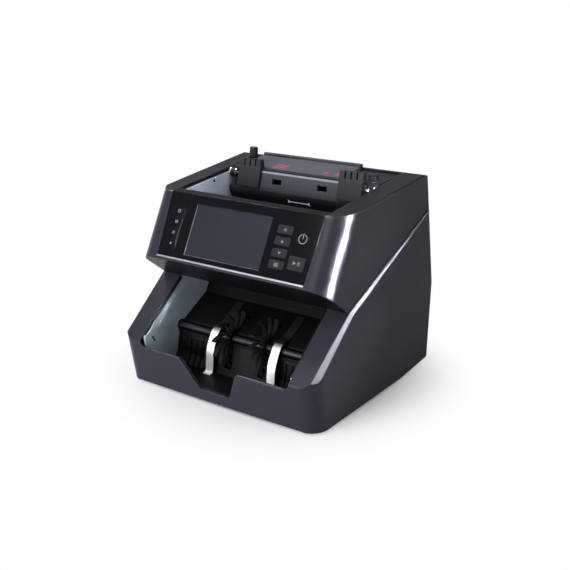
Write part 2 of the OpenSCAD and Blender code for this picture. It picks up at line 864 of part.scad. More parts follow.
// Hinged cover over the middle of the back, with a fold over the roof
module rear_hatch() {
    outline = concat([hatch_edge], fillet(tail_p, belly_p, roof_p, belly_round),
                     fillet(belly_p, roof_p, brow_p, roof_round),
                     [roof_p + unit(brow_p - roof_p) * hatch_fold]);
    color(housing_color)
        difference() {
            union() {
                slab(-hatch_x, hatch_x)
                    polygon(strip(outline, 0, wall));
                // Knuckles on the hinge pins
                both_sides()
                    slab(hatch_x - knuckle_w, hatch_x)
                        union() {
                            translate(hinge_p)
                                circle(knuckle_r);
                            translate([hinge_p[0], hinge_p[1] - knuckle_r])
                                square([hatch_edge[0] - hinge_p[0] - wall / 2, 2 * knuckle_r]);
                        }
            }
            both_sides()
                bar(hinge_p, hinge_r + run_gap, hatch_x - knuckle_w - 1, hatch_x + 1);
        }
}

module hinge_pins() {
    color(chrome_color)
        both_sides()
            bar(hinge_p, hinge_r, hatch_x - knuckle_w, hatch_x + 3 * fit_gap + lug_w);
}

// Sheet-steel pan that closes the bottom from inside
module base_pan() {
    color(steel_color)
        union() {
            translate([-pan_x, pan_front, pan_z])
                cube([2 * pan_x, pan_back - pan_front, pan_t]);
            // Pressed stiffening ribs
            for (y = pan_rib_y)
                translate([-pan_x + pan_rib_in, pan_front + y, pan_top])
                    cube([2 * (pan_x - pan_rib_in), pan_rib_w, pan_rib_h]);
        }
}

module rubber_feet() {
    r = foot_d / 2;
    color(rubber_color)
        for (x = [-foot_x, foot_x], y = [foot_front, foot_back])
            translate([x, y, 0])
                rotate_extrude()
                    polygon([[0, 0], [r - 1, 0], [r, 1], [r, foot_h], [0, foot_h]]);
}

// Cross-slotted screws that hold the pan to the housing's rim
module pan_screws() {
    in = pan_rim / 2;
    head_h = 2.4;
    slot_w = 1;
    color(chrome_color)
        for (x = [-pan_x + in, pan_x - in], y = [pan_front + in, pan_back - in])
            translate([x, y, pan_top])
                difference() {
                    cylinder(d = screw_d, h = head_h);
                    for (a = [0, 90])
                        translate([0, 0, head_h])
                            rotate(a)
                                cube([4, slot_w, 2], center = true);
                }
}

// Steel plate that carries all the shafts on one side
module side_plate() {
    color(steel_color)
        difference() {
            union() {
                slab(plate_x, plate_out)
                    polygon(rounded(plate_pts, plate_rounds));
                // Folded foot on the pan
                translate([plate_x - 10, pan_front + 20, pan_top])
                    cube([10 + plate_t, pan_back - pan_front - 40, plate_t]);
            }
            for (p = shaft_points)
                bar(p, bush_r + seat_gap, plate_x - 1, plate_out + 1);
            bar(gate_pin_p, gate_pin_r + seat_gap, plate_x - 1, plate_out + 1);
            for (p = [motor_p, small_motor_p])
                bar(p, pulley_r - 2, plate_x - 1, plate_out + 1);
            // Sensor eyes of the pocket and the hopper
            for (p = concat(pocket_eyes, hopper_eyes))
                bar(p, eye_r, plate_x - 1, plate_out + 1);
        }
}

module right_side_plate() {
    side_plate();
}

module left_side_plate() {
    mirror([1, 0, 0])
        side_plate();
}

module tie_rods() {
    color(chrome_color)
        for (p = rod_points)
            bar(p, rod_r, -plate_x, plate_x);
}

// Front outline of the fascia, grown by gap
module fascia_outline(gap) {
    polygon([[-fascia_low_x - gap, fascia_s - gap], [fascia_low_x + gap, fascia_s - gap],
             [fascia_top_x + gap, panel_len], [fascia_top_x + gap, panel_len + 30],
             [-fascia_top_x - gap, panel_len + 30], [-fascia_top_x - gap, panel_len]]);
}

// Fascia: front plate, fold over the brow and a drop into the hopper, with bosses for its board
module control_panel() {
    u = unit(brow_p - chin_p);
    roof_u = unit(roof_p - brow_p);
    edge = brow_p + roof_u * (hopper_y - brow_p[0]) / roof_u[0];
    line = [chin_p + fascia_s * u, brow_p, edge, [edge[0], hopper_z(hopper_y) - hopper_t]];
    color(black_color)
        union() {
            difference() {
                intersection() {
                    slab(-fascia_top_x, fascia_top_x)
                        polygon(strip(line, 0, -fascia_t));
                    panel_slab(-20, 60)
                        fascia_outline(0);
                }
                panel_slab(-1, fascia_t + 1)
                    translate([lcd_x, lcd_s])
                        square([lcd_w + 2 * fit_gap, lcd_h + 2 * fit_gap], center = true);
                for (i = [1:4])
                    panel_slab(-1, fascia_t + 1) {
                        translate([left_key_x, key_height(i)])
                            key_outline(left_key_w, key_h, fit_gap);
                        translate([right_key_x, key_height(i)])
                            key_outline(key_w, key_h, fit_gap);
                    }
                panel_slab(-1, fascia_t + 1) {
                    translate([side_key_x, power_s])
                        circle(d = power_d + 2 * fit_gap);
                    translate([side_key_x, start_s])
                        key_outline(start_w, start_h, fit_gap);
                }
            }
            for (x = [-boss_x, boss_x], s = [board_low + boss_in, board_high - boss_in])
                panel_slab(fascia_t - 0.5, board_d)
                    translate([x, s])
                        circle(boss_r);
        }
}

// Height of menu key i along the panel
function key_height(i) = key_s + (i - 1) * key_pitch;

// Key outline, grown by gap
module key_outline(w, h, gap) {
    rounded_rect(w + 2 * gap, h + 2 * gap, key_round + gap);
}

// Key cap with a skirt behind the fascia
module key_cap(x, s, w, h) {
    color(key_color)
        union() {
            panel_slab(-key_proud, fascia_t + key_flange)
                translate([x, s])
                    key_outline(w, h, 0);
            panel_slab(fascia_t + fit_gap, fascia_t + key_flange)
                translate([x, s])
                    key_outline(w, h, key_skirt);
        }
}

module left_key(i) {
    key_cap(left_key_x, key_height(i), left_key_w, key_h);
}

module right_key(i) {
    key_cap(right_key_x, key_height(i), key_w, key_h);
}

module start_key() {
    key_cap(side_key_x, start_s, start_w, start_h);
}

module power_key() {
    color(key_color)
        union() {
            panel_slab(-key_proud, fascia_t + key_flange)
                translate([side_key_x, power_s])
                    circle(d = power_d);
            panel_slab(fascia_t + fit_gap, fascia_t + key_flange)
                translate([side_key_x, power_s])
                    circle(d = power_d + 2 * key_skirt);
        }
}

// Display with its glass, standing on the board
module display_lens() {
    color("#3a3c46")
        panel_slab(lens_inset, board_d)
            translate([lcd_x, lcd_s])
                square([lcd_w, lcd_h], center = true);
}

// Circuit board behind the fascia
module display_board() {
    color(board_color)
        difference() {
            panel_slab(board_d, board_d + board_t)
                translate([0, (board_low + board_high) / 2])
                    square([2 * (boss_x + boss_in + 1.5), board_high - board_low], center = true);
            for (x = [-boss_x, boss_x], s = [board_low + boss_in, board_high - boss_in])
                panel_slab(board_d - 1, board_d + board_t + 1)
                    translate([x, s])
                        circle(boss_r / 2);
        }
}

module trim_strip() {
    trim_t = 0.7;
    color("#d8d8dc")
        panel_slab(-trim_t, 0)
            translate([-fascia_low_x, fascia_s - trim_h - fit_gap])
                square([2 * fascia_low_x, trim_h]);
}

// Curved wall behind the pocket, with a trough for the wheel shaft and slots for the wheels
module stacker_back() {
    behind = unit(left_of(back_line[3] - back_line[2]));
    across = unit(back_line[3] - back_line[2]);
    slot_half = wheel_w / 2 + slot_gap;
    color(black_color)
        difference() {
            union() {
                slab(-inner_x, inner_x)
                    polygon(strip(back_line, 0, back_t));
                slab(-inner_x, inner_x)
                    intersection() {
                        translate(wheel_p)
                            circle(trough_r + back_t);
                        polygon([wheel_p + across * 20, wheel_p + across * 20 + behind * 20,
                                 wheel_p - across * 20 + behind * 20, wheel_p - across * 20]);
                    }
                both_sides()
                    for (i = [0:rib_count - 1])
                        slab(rib_start + i * rib_pitch, rib_start + i * rib_pitch + rib_w)
                            polygon(strip(rib_line, 0.5, -rib_h));
            }
            both_sides()
                bar(wheel_p, wheel_r + slot_gap, wheel_x - slot_half, wheel_x + slot_half);
            bar(wheel_p, trough_r, -inner_x - 1, inner_x + 1);
        }
}

// Floor of the pocket, on three ribs that stand on the pan
module stacker_floor() {
    rib_front = pan_front + 2;
    color(black_color)
        union() {
            translate([-inner_x, floor_front, floor_z - floor_t])
                cube([2 * inner_x, floor_back - floor_front, floor_t]);
            for (x = [-floor_rib_x, 0, floor_rib_x])
                translate([x - rib_w / 2, rib_front, pan_top])
                    cube([rib_w, floor_back - rib_front - 6, floor_z - floor_t / 2 - pan_top]);
        }
}

// Polished strips bent over the stacker back, past the shaft and onto the floor
module guide_strips() {
    color(chrome_color)
        both_sides()
            slab(strip_x - strip_w / 2, strip_x + strip_w / 2)
                polygon(strip(strip_line, -strip_gap, -strip_gap - strip_t));
}

// Ceiling of the pocket, which leads the notes from the drum into the stacker
module exit_guide() {
    color(black_color)
        slab(-inner_x, inner_x)
            polygon(strip(exit_line, 0, exit_t));
}

module stacker_shaft() {
    color(chrome_color)
        bar(wheel_p, shaft_r, -pulley_x - pulley_w, plate_out + bush_flange);
}

// Wheel with curved flexible vanes
module stacker_wheel(x) {
    color(rubber_color)
        slab(x - wheel_w / 2, x + wheel_w / 2)
            translate(wheel_p)
                difference() {
                    union() {
                        circle(hub_r);
                        intersection() {
                            circle(wheel_r);
                            for (i = [0:vane_count - 1])
                                rotate(i * 360 / vane_count)
                                    vane();
                        }
                    }
                    circle(shaft_r + seat_gap);
                }
}

// One vane: half of a thin ring that starts in the hub
module vane() {
    root = 2;
    translate([0, vane_r + root])
        intersection() {
            difference() {
                circle(vane_r);
                circle(vane_r - vane_t);
            }
            translate([0, -vane_r - root])
                square(2 * vane_r);
        }
}

module stacker_wheels() {
    for (x = [-wheel_x, wheel_x])
        stacker_wheel(x);
}

// Flanged pulley from x0 outwards
module pulley(p, r, x0, bore_r) {
    difference() {
        union() {
            bar(p, r, x0, x0 + pulley_w);
            for (x = [x0, x0 + pulley_w - flange_w])
                bar(p, r + pulley_flange, x, x + flange_w);
        }
        bar(p, bore_r, x0 - 1, x0 + pulley_w + 1);
    }
}

module stacker_pulley() {
    color(black_color)
        mirror([1, 0, 0])
            pulley(wheel_p, pulley_r, pulley_x, shaft_r + seat_gap);
}

// Points on a circle round c from angle a0 to a1
function arc(c, r, a0, a1, n = 16) =
    [for (i = [0:n]) c + r * [cos(a0 + (a1 - a0) * i / n), sin(a0 + (a1 - a0) * i / n)]];

// Closed line of a belt round pulleys at a and b, at distance d from their rims
function belt_line(a, ra, b, rb, d) =
    let (dir = atan2(b[1] - a[1], b[0] - a[0]), tilt = acos((ra - rb) / norm(b - a)))
    concat(arc(a, ra + d, dir + tilt, dir + 360 - tilt), arc(b, rb + d, dir - tilt, dir + tilt));

// Belt round two pulleys, between the flanges of the pulleys that start at x0
module belt(a, ra, b, rb, x0) {
    color(rubber_color)
        slab(x0 + flange_w + fit_gap, x0 + pulley_w - flange_w - fit_gap)
            difference() {
                polygon(belt_line(a, ra, b, rb, belt_gap + belt_t));
                polygon(belt_line(a, ra, b, rb, belt_gap));
            }
}

module stacker_belt() {
    mirror([1, 0, 0])
        belt(wheel_p, pulley_r, small_motor_p, pulley_r, pulley_x);
}

module main_belt() {
    belt(motor_p, pulley_r, drum_p, drum_pulley_r, pulley_x);
}

module feed_belt() {
    belt(drum_p, pulley_r, feed_p, pulley_r, outer_pulley_x);
}

module pickup_belt() {
    belt(feed_p, pulley_r, pick_p, pulley_r, pulley_x);
}

// Motor seated on the inner face of a side plate
module motor(p, d, l) {
    difference() {
        union() {
            bar(p, d / 2, plate_x - l, plate_x);
            bar(p, d / 4, plate_x - l - 4, plate_x);
        }
        bar(p, motor_shaft_r + run_gap, plate_x - l / 3, plate_x + 1);
        bar(p, pulley_r - 2, plate_x - 3, plate_x + 1);
    }
}

// Pulley with its motor shaft
module shaft_pulley(p, l) {
    union() {
        pulley(p, pulley_r, pulley_x, motor_shaft_r / 2);
        bar(p, motor_shaft_r, plate_x - l / 3 + 1, pulley_x + pulley_w);
    }
}

module stacker_motor() {
    color(steel_color)
        mirror([1, 0, 0])
            motor(small_motor_p, small_motor_d, small_motor_l);
}

module stacker_motor_pulley() {
    color(chrome_color)
        mirror([1, 0, 0])
            shaft_pulley(small_motor_p, small_motor_l);
}

module main_motor() {
    color(steel_color)
        motor(motor_p, motor_d, motor_l);
}

module motor_pulley() {
    color(chrome_color)
        shaft_pulley(motor_p, motor_l);
}

// Shaft through both side plates, ending at x1 on the right
module driven_shaft(p, x1) {
    bar(p, shaft_r, -plate_out - bush_flange, x1);
}

module drum_shaft() {
    color(chrome_color)
        union() {
            driven_shaft(drum_p, outer_pulley_x + pulley_w);
            pulley(drum_p, drum_pulley_r, pulley_x, shaft_r / 2);
            pulley(drum_p, pulley_r, outer_pulley_x, shaft_r / 2);
        }
}

module feed_shaft() {
    color(chrome_color)
        union() {
            driven_shaft(feed_p, outer_pulley_x + pulley_w);
            pulley(feed_p, pulley_r, pulley_x, shaft_r / 2);
            pulley(feed_p, pulley_r, outer_pulley_x, shaft_r / 2);
        }
}

module pickup_shaft() {
    color(chrome_color)
        union() {
            driven_shaft(pick_p, pulley_x + pulley_w);
            pulley(pick_p, pulley_r, pulley_x, shaft_r / 2);
        }
}

// Pair of rubber rollers on a shaft
module rollers(p, r, x, w) {
    color(rubber_color)
        for (s = [-1, 1])
            difference() {
                bar(p, r, s * x - w / 2, s * x + w / 2);
                bar(p, shaft_r + seat_gap, s * x - w, s * x + w);
            }
}

module drum_wheels() {
    rollers(drum_p, drum_r, drum_x, drum_w);
}

module feed_rollers() {
    rollers(feed_p, feed_r, roller_x, roller_w);
}

module pickup_rollers() {
    rollers(pick_p, pick_r, roller_x, roller_w);
}

// Flanged bearing bushes of the shafts, pressed into the side plates
module shaft_bushes() {
    color("#b08d4a")
        both_sides()
            for (p = shaft_points)
                difference() {
                    union() {
                        bar(p, bush_r, plate_x, plate_out);
                        bar(p, bush_r + 2, plate_out, plate_out + bush_flange);
                    }
                    bar(p, shaft_r + run_gap, plate_x - 1, plate_out + bush_flange + 1);
                }
}

// Sloping floor of the hopper with windows for the rollers
module hopper_floor() {
    y0 = hopper_y + fascia_t + fit_gap;
    y1 = feed_p[0] + feed_r + 6;
    window_gap = 1.5;
    color(black_color)
        difference() {
            slab(-inner_x, inner_x)
                polygon([[y0, hopper_z(y0)], [y0, hopper_z(y0) - hopper_t], [y1, hopper_z(y1) - hopper_t],
                         [y1, hopper_z(y1)]]);
            for (s = [-1, 1]) {
                x0 = s * roller_x - roller_w / 2 - window_gap;
                x1 = s * roller_x + roller_w / 2 + window_gap;
                bar(pick_p, pick_r + window_gap, x0, x1);
                bar(feed_p, feed_r + window_gap, x0, x1);
            }
        }
}

// Gate at the back of the hopper, with a round nose that the notes pass under
module feed_gate() {
    color("#3f4248")
        difference() {
            union() {
                slab(-gate_x, gate_x)
                    polygon([gate_foot - gate_up, gate_foot + gate_in * gate_t - gate_up,
                             gate_top + gate_in * gate_t, gate_top]);
                slab(-inner_x, inner_x)
                    intersection() {
                        translate(nose_c)
                            difference() {
                                circle(nose_r);
                                circle(nose_r - gate_t);
                            }
                        translate(nose_c - [nose_r, nose_r])
                            square(nose_r);
                    }
            }
            for (x = [-window_x, window_x])
                translate([x, gate_foot[0], gate_z - gate_h / 2])
                    cube([window_w, 40, window_h], center = true);
            both_sides()
                bar(gate_pin_p, gate_pin_r + seat_gap, gate_x - gate_pin_in, gate_x + 1);
        }
}

// Pins with ring bosses that hang the gate between the side plates
module gate_pins() {
    color(chrome_color)
        both_sides()
            union() {
                bar(gate_pin_p, gate_pin_r, gate_x - gate_pin_in + 0.5, plate_out);
                bar(gate_pin_p, boss_ring_r, plate_x - boss_ring_w, plate_x);
            }
}

// Finned guide that hooks over the gate and slides along it
module note_guide() {
    out = left_of(gate_up);
    face = [gate_foot + 2 * gate_up, gate_top + gate_up];
    front = [for (p = face) p + out * (fit_gap + guide_t)];
    back = [for (p = face) p + out * fit_gap];
    seat_z = gate_z + fit_gap;
    fin_gap = 2;
    fin_h = 9;
    color("#2d3037")
        difference() {
            slab(guide_x - guide_w / 2, guide_x + guide_w / 2)
                polygon([front[0], back[0], [back[1][0], seat_z], [hook_y, seat_z], [hook_y, seat_z + 3],
                         [hook_y - 2, guide_z], [front[1][0] + 2, guide_z], front[1]]);
            // Gaps between the finger fins
            for (i = [-1:1])
                translate([guide_x + i * guide_w / 4 - fin_gap / 2, front[0][0] - 4, guide_z - fin_h])
                    cube([fin_gap, gate_lean + guide_t + 4, fin_h + 3]);
        }
}

module right_note_guide() {
    note_guide();
}

module left_note_guide() {
    mirror([1, 0, 0])
        note_guide();
}

// Slot of the release lever through the cover and the plate on it
module lever_slot() {
    translate([lever_mid - lever_slot_w / 2, lever_p[0] - 5, lever_p[1]])
        cube([lever_slot_w, 16, 40]);
}

// Line of the cover from depth a behind its front to depth b before its back, raised by d
function cover_line(a, b, d) =
    let (along = unit(cover_back - cover_front))
    [cover_front + along * a + cover_up * d, cover_back - along * b + cover_up * d];

// Dark cover behind the gate, with a grip bar, ears for the lever and a bore for the gap screw
module top_cover() {
    top = cover_line(0, 0, 0);
    low = cover_line(0, 0, -cover_t);
    bar_foot = cover_line(0, plate_in - fit_gap, 0)[1];
    floor_line = cover_line(plate_in, plate_in, -recess);
    sky = cover_line(plate_in, plate_in, 10);
    color("#33343b")
        difference() {
            union() {
                slab(-inner_x, inner_x)
                    polygon([top[0] - [0, cover_drop], top[0] + [cover_t, -cover_drop],
                             [top[0][0] + cover_t, low[0][1]], low[1], top[1], top[0]]);
                slab(top_plate_x0, top_plate_x1)
                    polygon(rounded([bar_foot - [0, 1], top[1] - [0, 1], top[1] + [0, lid_bar_h],
                                     bar_foot + [0, lid_bar_h]], [0, 0, lid_bar_round, lid_bar_round]));
                for (s = [-1, 1]) {
                    x0 = lever_mid + s * (lever_slot_w + ear_t) / 2 - ear_t / 2;
                    slab(x0, x0 + ear_t)
                        union() {
                            translate(lever_p)
                                circle(ear_r);
                            translate(lever_p - [ear_r, 0])
                                square([2 * ear_r, cover_front[1] - cover_t / 2 - lever_p[1]]);
                        }
                }
            }
            // Recess of the grey plate
            slab(top_plate_x0, top_plate_x1)
                polygon([floor_line[0], floor_line[1], sky[1], sky[0]]);
            lever_slot();
            bar(lever_p, lever_pin_r + run_gap, lever_mid - 20, lever_mid + 20);
            translate([screw_x, screw_y, gate_z - 20])
                cylinder(r = screw_r + run_gap, h = 60);
        }
}

// Grey plate let into the cover, which rises to the grip bar
module top_plate() {
    low = cover_line(plate_in + fit_gap, plate_in + fit_gap, -recess);
    high = cover_line(plate_in + fit_gap, plate_in + fit_gap, top_plate_t - recess);
    color("#6b6c74")
        difference() {
            slab(top_plate_x0 + fit_gap, top_plate_x1 - fit_gap)
                polygon([low[0], low[1], high[1] + [0, lid_rise], high[0]]);
            lever_slot();
        }
}

// Lever that lifts the gate, on a pin between the cover's ears
module release_lever() {
    x0 = lever_mid - lever_w / 2;
    pin_half = lever_slot_w / 2 + ear_t;
    blade = [[-3, -1], [3, -1], [3.4, 8], [4.6, lever_h - 1], [3.6, lever_h], [0.4, lever_h],
             [-0.6, lever_h - 1], [-3, 8]];
    color(black_color)
        union() {
            slab(x0, x0 + lever_w)
                translate(lever_p)
                    union() {
                        circle(3);
                        polygon(blade);
                    }
            bar(lever_p, lever_pin_r, lever_mid - pin_half, lever_mid + pin_half);
        }
}

// Fluted knob and screw that set the feed gap
module gap_screw() {
    base = cover_front[1] + 0.8;
    flutes = 16;
    color(chrome_color)
        translate([screw_x, screw_y, base])
            difference() {
                union() {
                    translate([0, 0, -14])
                        cylinder(r = screw_r, h = 16);
                    cylinder(r = screw_r + 1.5, h = 1);
                    translate([0, 0, 1])
                        cylinder(d = knob_d, h = knob_h);
                }
                for (i = [0:flutes - 1])
                    rotate(i * 360 / flutes)
                        translate([knob_d / 2 + 0.3, 0, 0.9])
                            cylinder(r = 0.8, h = knob_h + 1, $fn = 16);
            }
}

// Control board on four posts outside the left plate
module main_board() {
    corner = drum_p - main_board_size / 2;
    gap = 8;
    post_r = 2.5;
    in = 5;
    x0 = plate_out + gap;
    color(board_color)
        mirror([1, 0, 0])
            union() {
                slab(x0, x0 + board_t)
                    translate(corner)
                        square(main_board_size);
                for (y = [in, main_board_size[0] - in], z = [in, main_board_size[1] - in])
                    bar(corner + [y, z], post_r, plate_out, x0 + board_t / 2);
            }
}

// Caged power supply on the pan, with cooling slots
module power_supply() {
    slot_w = 3;
    slot_count = 8;
    color("#8a8d90")
        translate([psu_x - psu_w / 2, pan_back - psu_in - psu_d, pan_top])
            difference() {
                cube([psu_w, psu_d, psu_h]);
                for (i = [0:slot_count - 1])
                    translate([psu_w * (i + 1) / (slot_count + 1) - slot_w / 2, psu_d * 0.2, psu_h - 2])
                        cube([slot_w, psu_d * 0.6, 3]);
            }
}

// Mains inlet outline with two cut corners, drawn in by d
module inlet_outline(d) {
    w = inlet_w / 2 - d;
    h = inlet_h / 2 - d;
    cut = 5;
    polygon([[-w, -h], [w, -h], [w, h - cut], [w - cut, h], [cut - w, h], [-w, h - cut]]);
}

// Mains inlet with its socket and three blades
module power_inlet() {
    socket_wall = 2.5;
    floor_d = 3;
    blade_l = 9;
    color(black_color)
        union() {
            difference() {
                union() {
                    rear_slab(inlet_x, -inlet_l, rear_t)
                        inlet_outline(0);
                    rear_slab(inlet_x, 0, rear_t)
                        rounded_rect(inlet_w + 2 * inlet_flange, inlet_h + 2 * inlet_flange, 2);
                }
                rear_slab(inlet_x, -inlet_l + floor_d, rear_t + 1)
                    inlet_outline(socket_wall);
            }
            for (p = [[-7, -1], [0, 3], [7, -1]])
                rear_slab(inlet_x, -inlet_l + floor_d - 0.5, -inlet_l + floor_d + blade_l)
                    translate(p)
                        square([2, 4], center = true);
        }
}

// Frame of the rocker switch, with bores for the rocker's pins
module switch_frame() {
    color(black_color)
        difference() {
            union() {
                rear_slab(switch_x, -switch_l, rear_t)
                    square([switch_w, switch_h], center = true);
                rear_slab(switch_x, 0, rear_t)
                    rounded_rect(switch_w + 2 * switch_flange, switch_h + 2 * switch_flange, 1);
            }
            rear_slab(switch_x, -switch_l + switch_wall, rear_t + 1)
                square([switch_w - 2 * switch_wall, switch_h - 2 * switch_wall], center = true);
            on_rear(switch_x)
                translate([0, -rear_t, 0])
                    cylinder(r = rocker_pin_r + run_gap, h = far / 20, center = true);
        }
}

// Rocker with a shallow valley, on two short pins, tilted to its off side
module power_switch() {
    half = switch_w / 2 - switch_wall - 2 * fit_gap;
    tall = switch_h - 2 * switch_wall - 2 * fit_gap;
    color("#a02a2a")
        on_rear(switch_x)
            translate([0, -rear_t, 0])
                rotate(rocker_tilt)
                    union() {
                        linear_extrude(tall, center = true)
                            polygon([[-half, 3.4], [0, 2.4], [half, 3.4], [half, 0], [0, -4], [-half, 0]]);
                        cylinder(r = rocker_pin_r, h = switch_h - switch_wall / 2, center = true);
                    }
}

lower_housing();
upper_housing();
base_pan();
rubber_feet();
pan_screws();
left_side_plate();
right_side_plate();
tie_rods();
control_panel();
display_lens();
display_board();
trim_strip();
for (i = [1:4]) left_key(i);
for (i = [1:4]) right_key(i);
power_key();
start_key();
stacker_back();
stacker_floor();
guide_strips();
exit_guide();
stacker_shaft();
stacker_wheels();
stacker_pulley();
hopper_floor();
feed_gate();
gate_pins();
left_note_guide();
right_note_guide();
top_cover();
top_plate();
release_lever();
gap_screw();
pickup_shaft();
pickup_rollers();
feed_shaft();
feed_rollers();
drum_shaft();
drum_wheels();
shaft_bushes();
main_motor();
motor_pulley();
main_belt();
feed_belt();
pickup_belt();
stacker_motor();
stacker_motor_pulley();
stacker_belt();
main_board();
power_supply();
power_inlet();
switch_frame();
power_switch();
rear_hatch();
hinge_pins();
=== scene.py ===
import json
import math

import bmesh
import bpy
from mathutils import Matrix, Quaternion, Vector

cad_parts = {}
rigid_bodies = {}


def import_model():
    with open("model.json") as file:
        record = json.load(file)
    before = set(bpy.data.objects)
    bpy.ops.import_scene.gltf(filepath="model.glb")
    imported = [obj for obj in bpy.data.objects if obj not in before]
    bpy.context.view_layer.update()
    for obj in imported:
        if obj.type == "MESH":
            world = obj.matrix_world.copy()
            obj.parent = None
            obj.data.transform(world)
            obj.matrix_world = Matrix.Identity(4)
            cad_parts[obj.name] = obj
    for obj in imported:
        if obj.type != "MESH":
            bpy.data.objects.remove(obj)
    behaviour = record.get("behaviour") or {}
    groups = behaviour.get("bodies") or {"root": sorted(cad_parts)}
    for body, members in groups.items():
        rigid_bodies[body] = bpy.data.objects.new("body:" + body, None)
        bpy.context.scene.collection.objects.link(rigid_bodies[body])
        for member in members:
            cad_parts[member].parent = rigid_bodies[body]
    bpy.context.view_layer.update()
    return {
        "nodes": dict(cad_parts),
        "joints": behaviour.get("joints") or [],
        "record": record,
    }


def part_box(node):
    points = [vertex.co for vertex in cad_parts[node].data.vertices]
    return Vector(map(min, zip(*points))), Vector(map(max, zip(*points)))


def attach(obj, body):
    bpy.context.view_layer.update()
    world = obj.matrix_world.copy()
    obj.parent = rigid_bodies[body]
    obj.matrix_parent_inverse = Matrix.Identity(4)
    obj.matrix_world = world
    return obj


MM = 0.001

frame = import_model()
nodes = frame["nodes"]
joints = {joint["name"]: joint for joint in frame["joints"]}

# The panel leans, and its keys travel straight into it
OUT_OF_PANEL = -Vector(joints["power_key_press"]["axis"])


# Colours and shader nodes

def linear(code):
    """The linear colour of an sRGB hex value."""
    parts = [int(code[i:i + 2], 16) / 255 for i in (1, 3, 5)]
    return [p / 12.92 if p <= 0.04045 else ((p + 0.055) / 1.055) ** 2.4 for p in parts] + [1.0]


def add(tree, kind, inputs, **settings):
    """Adds a shader node with its settings, and sets or links each of its inputs."""
    made = tree.nodes.new("ShaderNode" + kind)
    for name, value in settings.items():
        setattr(made, name, value)
    for name, value in inputs.items():
        if isinstance(value, bpy.types.NodeSocket):
            tree.links.new(value, made.inputs[name])
        else:
            made.inputs[name].default_value = value
    return made


def surface(name, constants):
    """A new material, its tree and its shader, with the constant values set on the shader."""
    made = bpy.data.materials.new(name)
    made.use_nodes = True
    shader = made.node_tree.nodes["Principled BSDF"]
    for socket, value in constants.items():
        shader.inputs[socket].default_value = value
    return made, made.node_tree, shader


def feed(tree, shader, sources):
    """Links the source that is given for each of a shader's sockets."""
    for socket, source in sources.items():
        tree.links.new(source, shader.inputs[socket])


def per_mm(size):
    """The scale of a pattern whose features are this many millimetres across."""
    return 1 / (size * MM)


# Materials

COMMON_IOR = 1.5       # of plastic, rubber, glass and epoxy
INK_IOR = 1.45

FLOW_PATCH = 110       # millimetres across a patch that the melt's flow leaves
FLOW_GLOSS = 0.03      # roughness that such a patch gains or loses
SPARK_BUMP = 0.35
WEAR_AND_GLEAM_START = 0.99      # cosine of the bend at which an edge starts to turn lighter, from handling and as a painted highlight
WEAR_AND_GLEAM_FULL = 0.8        # and at which that is full
WEAR_AND_GLEAM_SHARE = 0.7       # share of the lighter edge colour there

CLOUD_PATCH = 22       # millimetres across a cloud in a metal's tone
LINE_GLOSS = (0.75, 1.3)     # least and most share of a metal's roughness
LINE_BUMP = 0.15
LINE_DEPTH = 0.01      # millimetres
ROLLED = (1.0, 1.0, 0.04)    # stretches the lines along z, the way that the sheet was rolled
DRAWN = (0.05, 1.0, 1.0)     # stretches the lines along x, the way that the bar was drawn

PEBBLE = 0.8           # millimetres across a pebble of a rubber's skin
DUST_PATCH = 9         # millimetres across a patch of dust
PIXEL = 0.7            # millimetres, about five times a real pixel
HAZE_PATCH = 60        # millimetres across a patch of haze under glass
TRACK_FIELD = 60       # millimetres across two fields of copper
MOTTLE = 0.9           # millimetres, about five times the mesh of a real screen


def moulded(name, colour, worn_and_gleaming, roughness, grain=0.5, depth=0.02, specular=0.3, edge=0.5):
    """Moulded plastic: fine spark texture in the tool, drawn a few times coarser than real so that
    it shows, slow changes of gloss from the melt's flow, and edges that are softly broken and a
    little lighter, partly from handling and partly as a painted highlight where they catch the
    light. Grain, depth and edge are in millimetres."""
    made, tree, shader = surface(name, {"IOR": COMMON_IOR, "Specular IOR Level": specular})
    where = add(tree, "TexCoord", {}).outputs["Object"]
    spark = add(tree, "TexNoise", {"Vector": where, "Scale": per_mm(grain), "Detail": 3.0})
    flow = add(tree, "TexNoise", {"Vector": where, "Scale": per_mm(FLOW_PATCH), "Detail": 1.0})
    round_edge = add(tree, "Bevel", {"Radius": edge * MM}, samples=6)
    flat = add(tree, "NewGeometry", {}).outputs["Normal"]
    facing = add(tree, "VectorMath", {0: round_edge.outputs["Normal"], 1: flat},
                 operation="DOT_PRODUCT")
    # partly painted highlight: the more an edge bends away from its flat face, the more it takes
    # the lighter edge colour, which stands both for handling and for the light that the edge
    # catches
    wear_and_gleam = add(tree, "MapRange", {"Value": facing.outputs["Value"], "From Min": WEAR_AND_GLEAM_START,
                                  "From Max": WEAR_AND_GLEAM_FULL, "To Min": 0.0, "To Max": WEAR_AND_GLEAM_SHARE})
    tone = add(tree, "Mix", {0: wear_and_gleam.outputs["Result"], 6: linear(colour), 7: linear(worn_and_gleaming)},
               data_type="RGBA")
    gloss = add(tree, "MapRange", {"Value": flow.outputs["Fac"], "To Min": roughness - FLOW_GLOSS,
                                   "To Max": roughness + FLOW_GLOSS})
    bump = add(tree, "Bump", {"Height": spark.outputs["Fac"], "Strength": SPARK_BUMP,
                              "Distance": depth * MM, "Normal": round_edge.outputs["Normal"]})
    feed(tree, shader, {"Base Color": tone.outputs[2], "Roughness": gloss.outputs["Result"],
                        "Normal": bump.outputs["Normal"]})
    return made


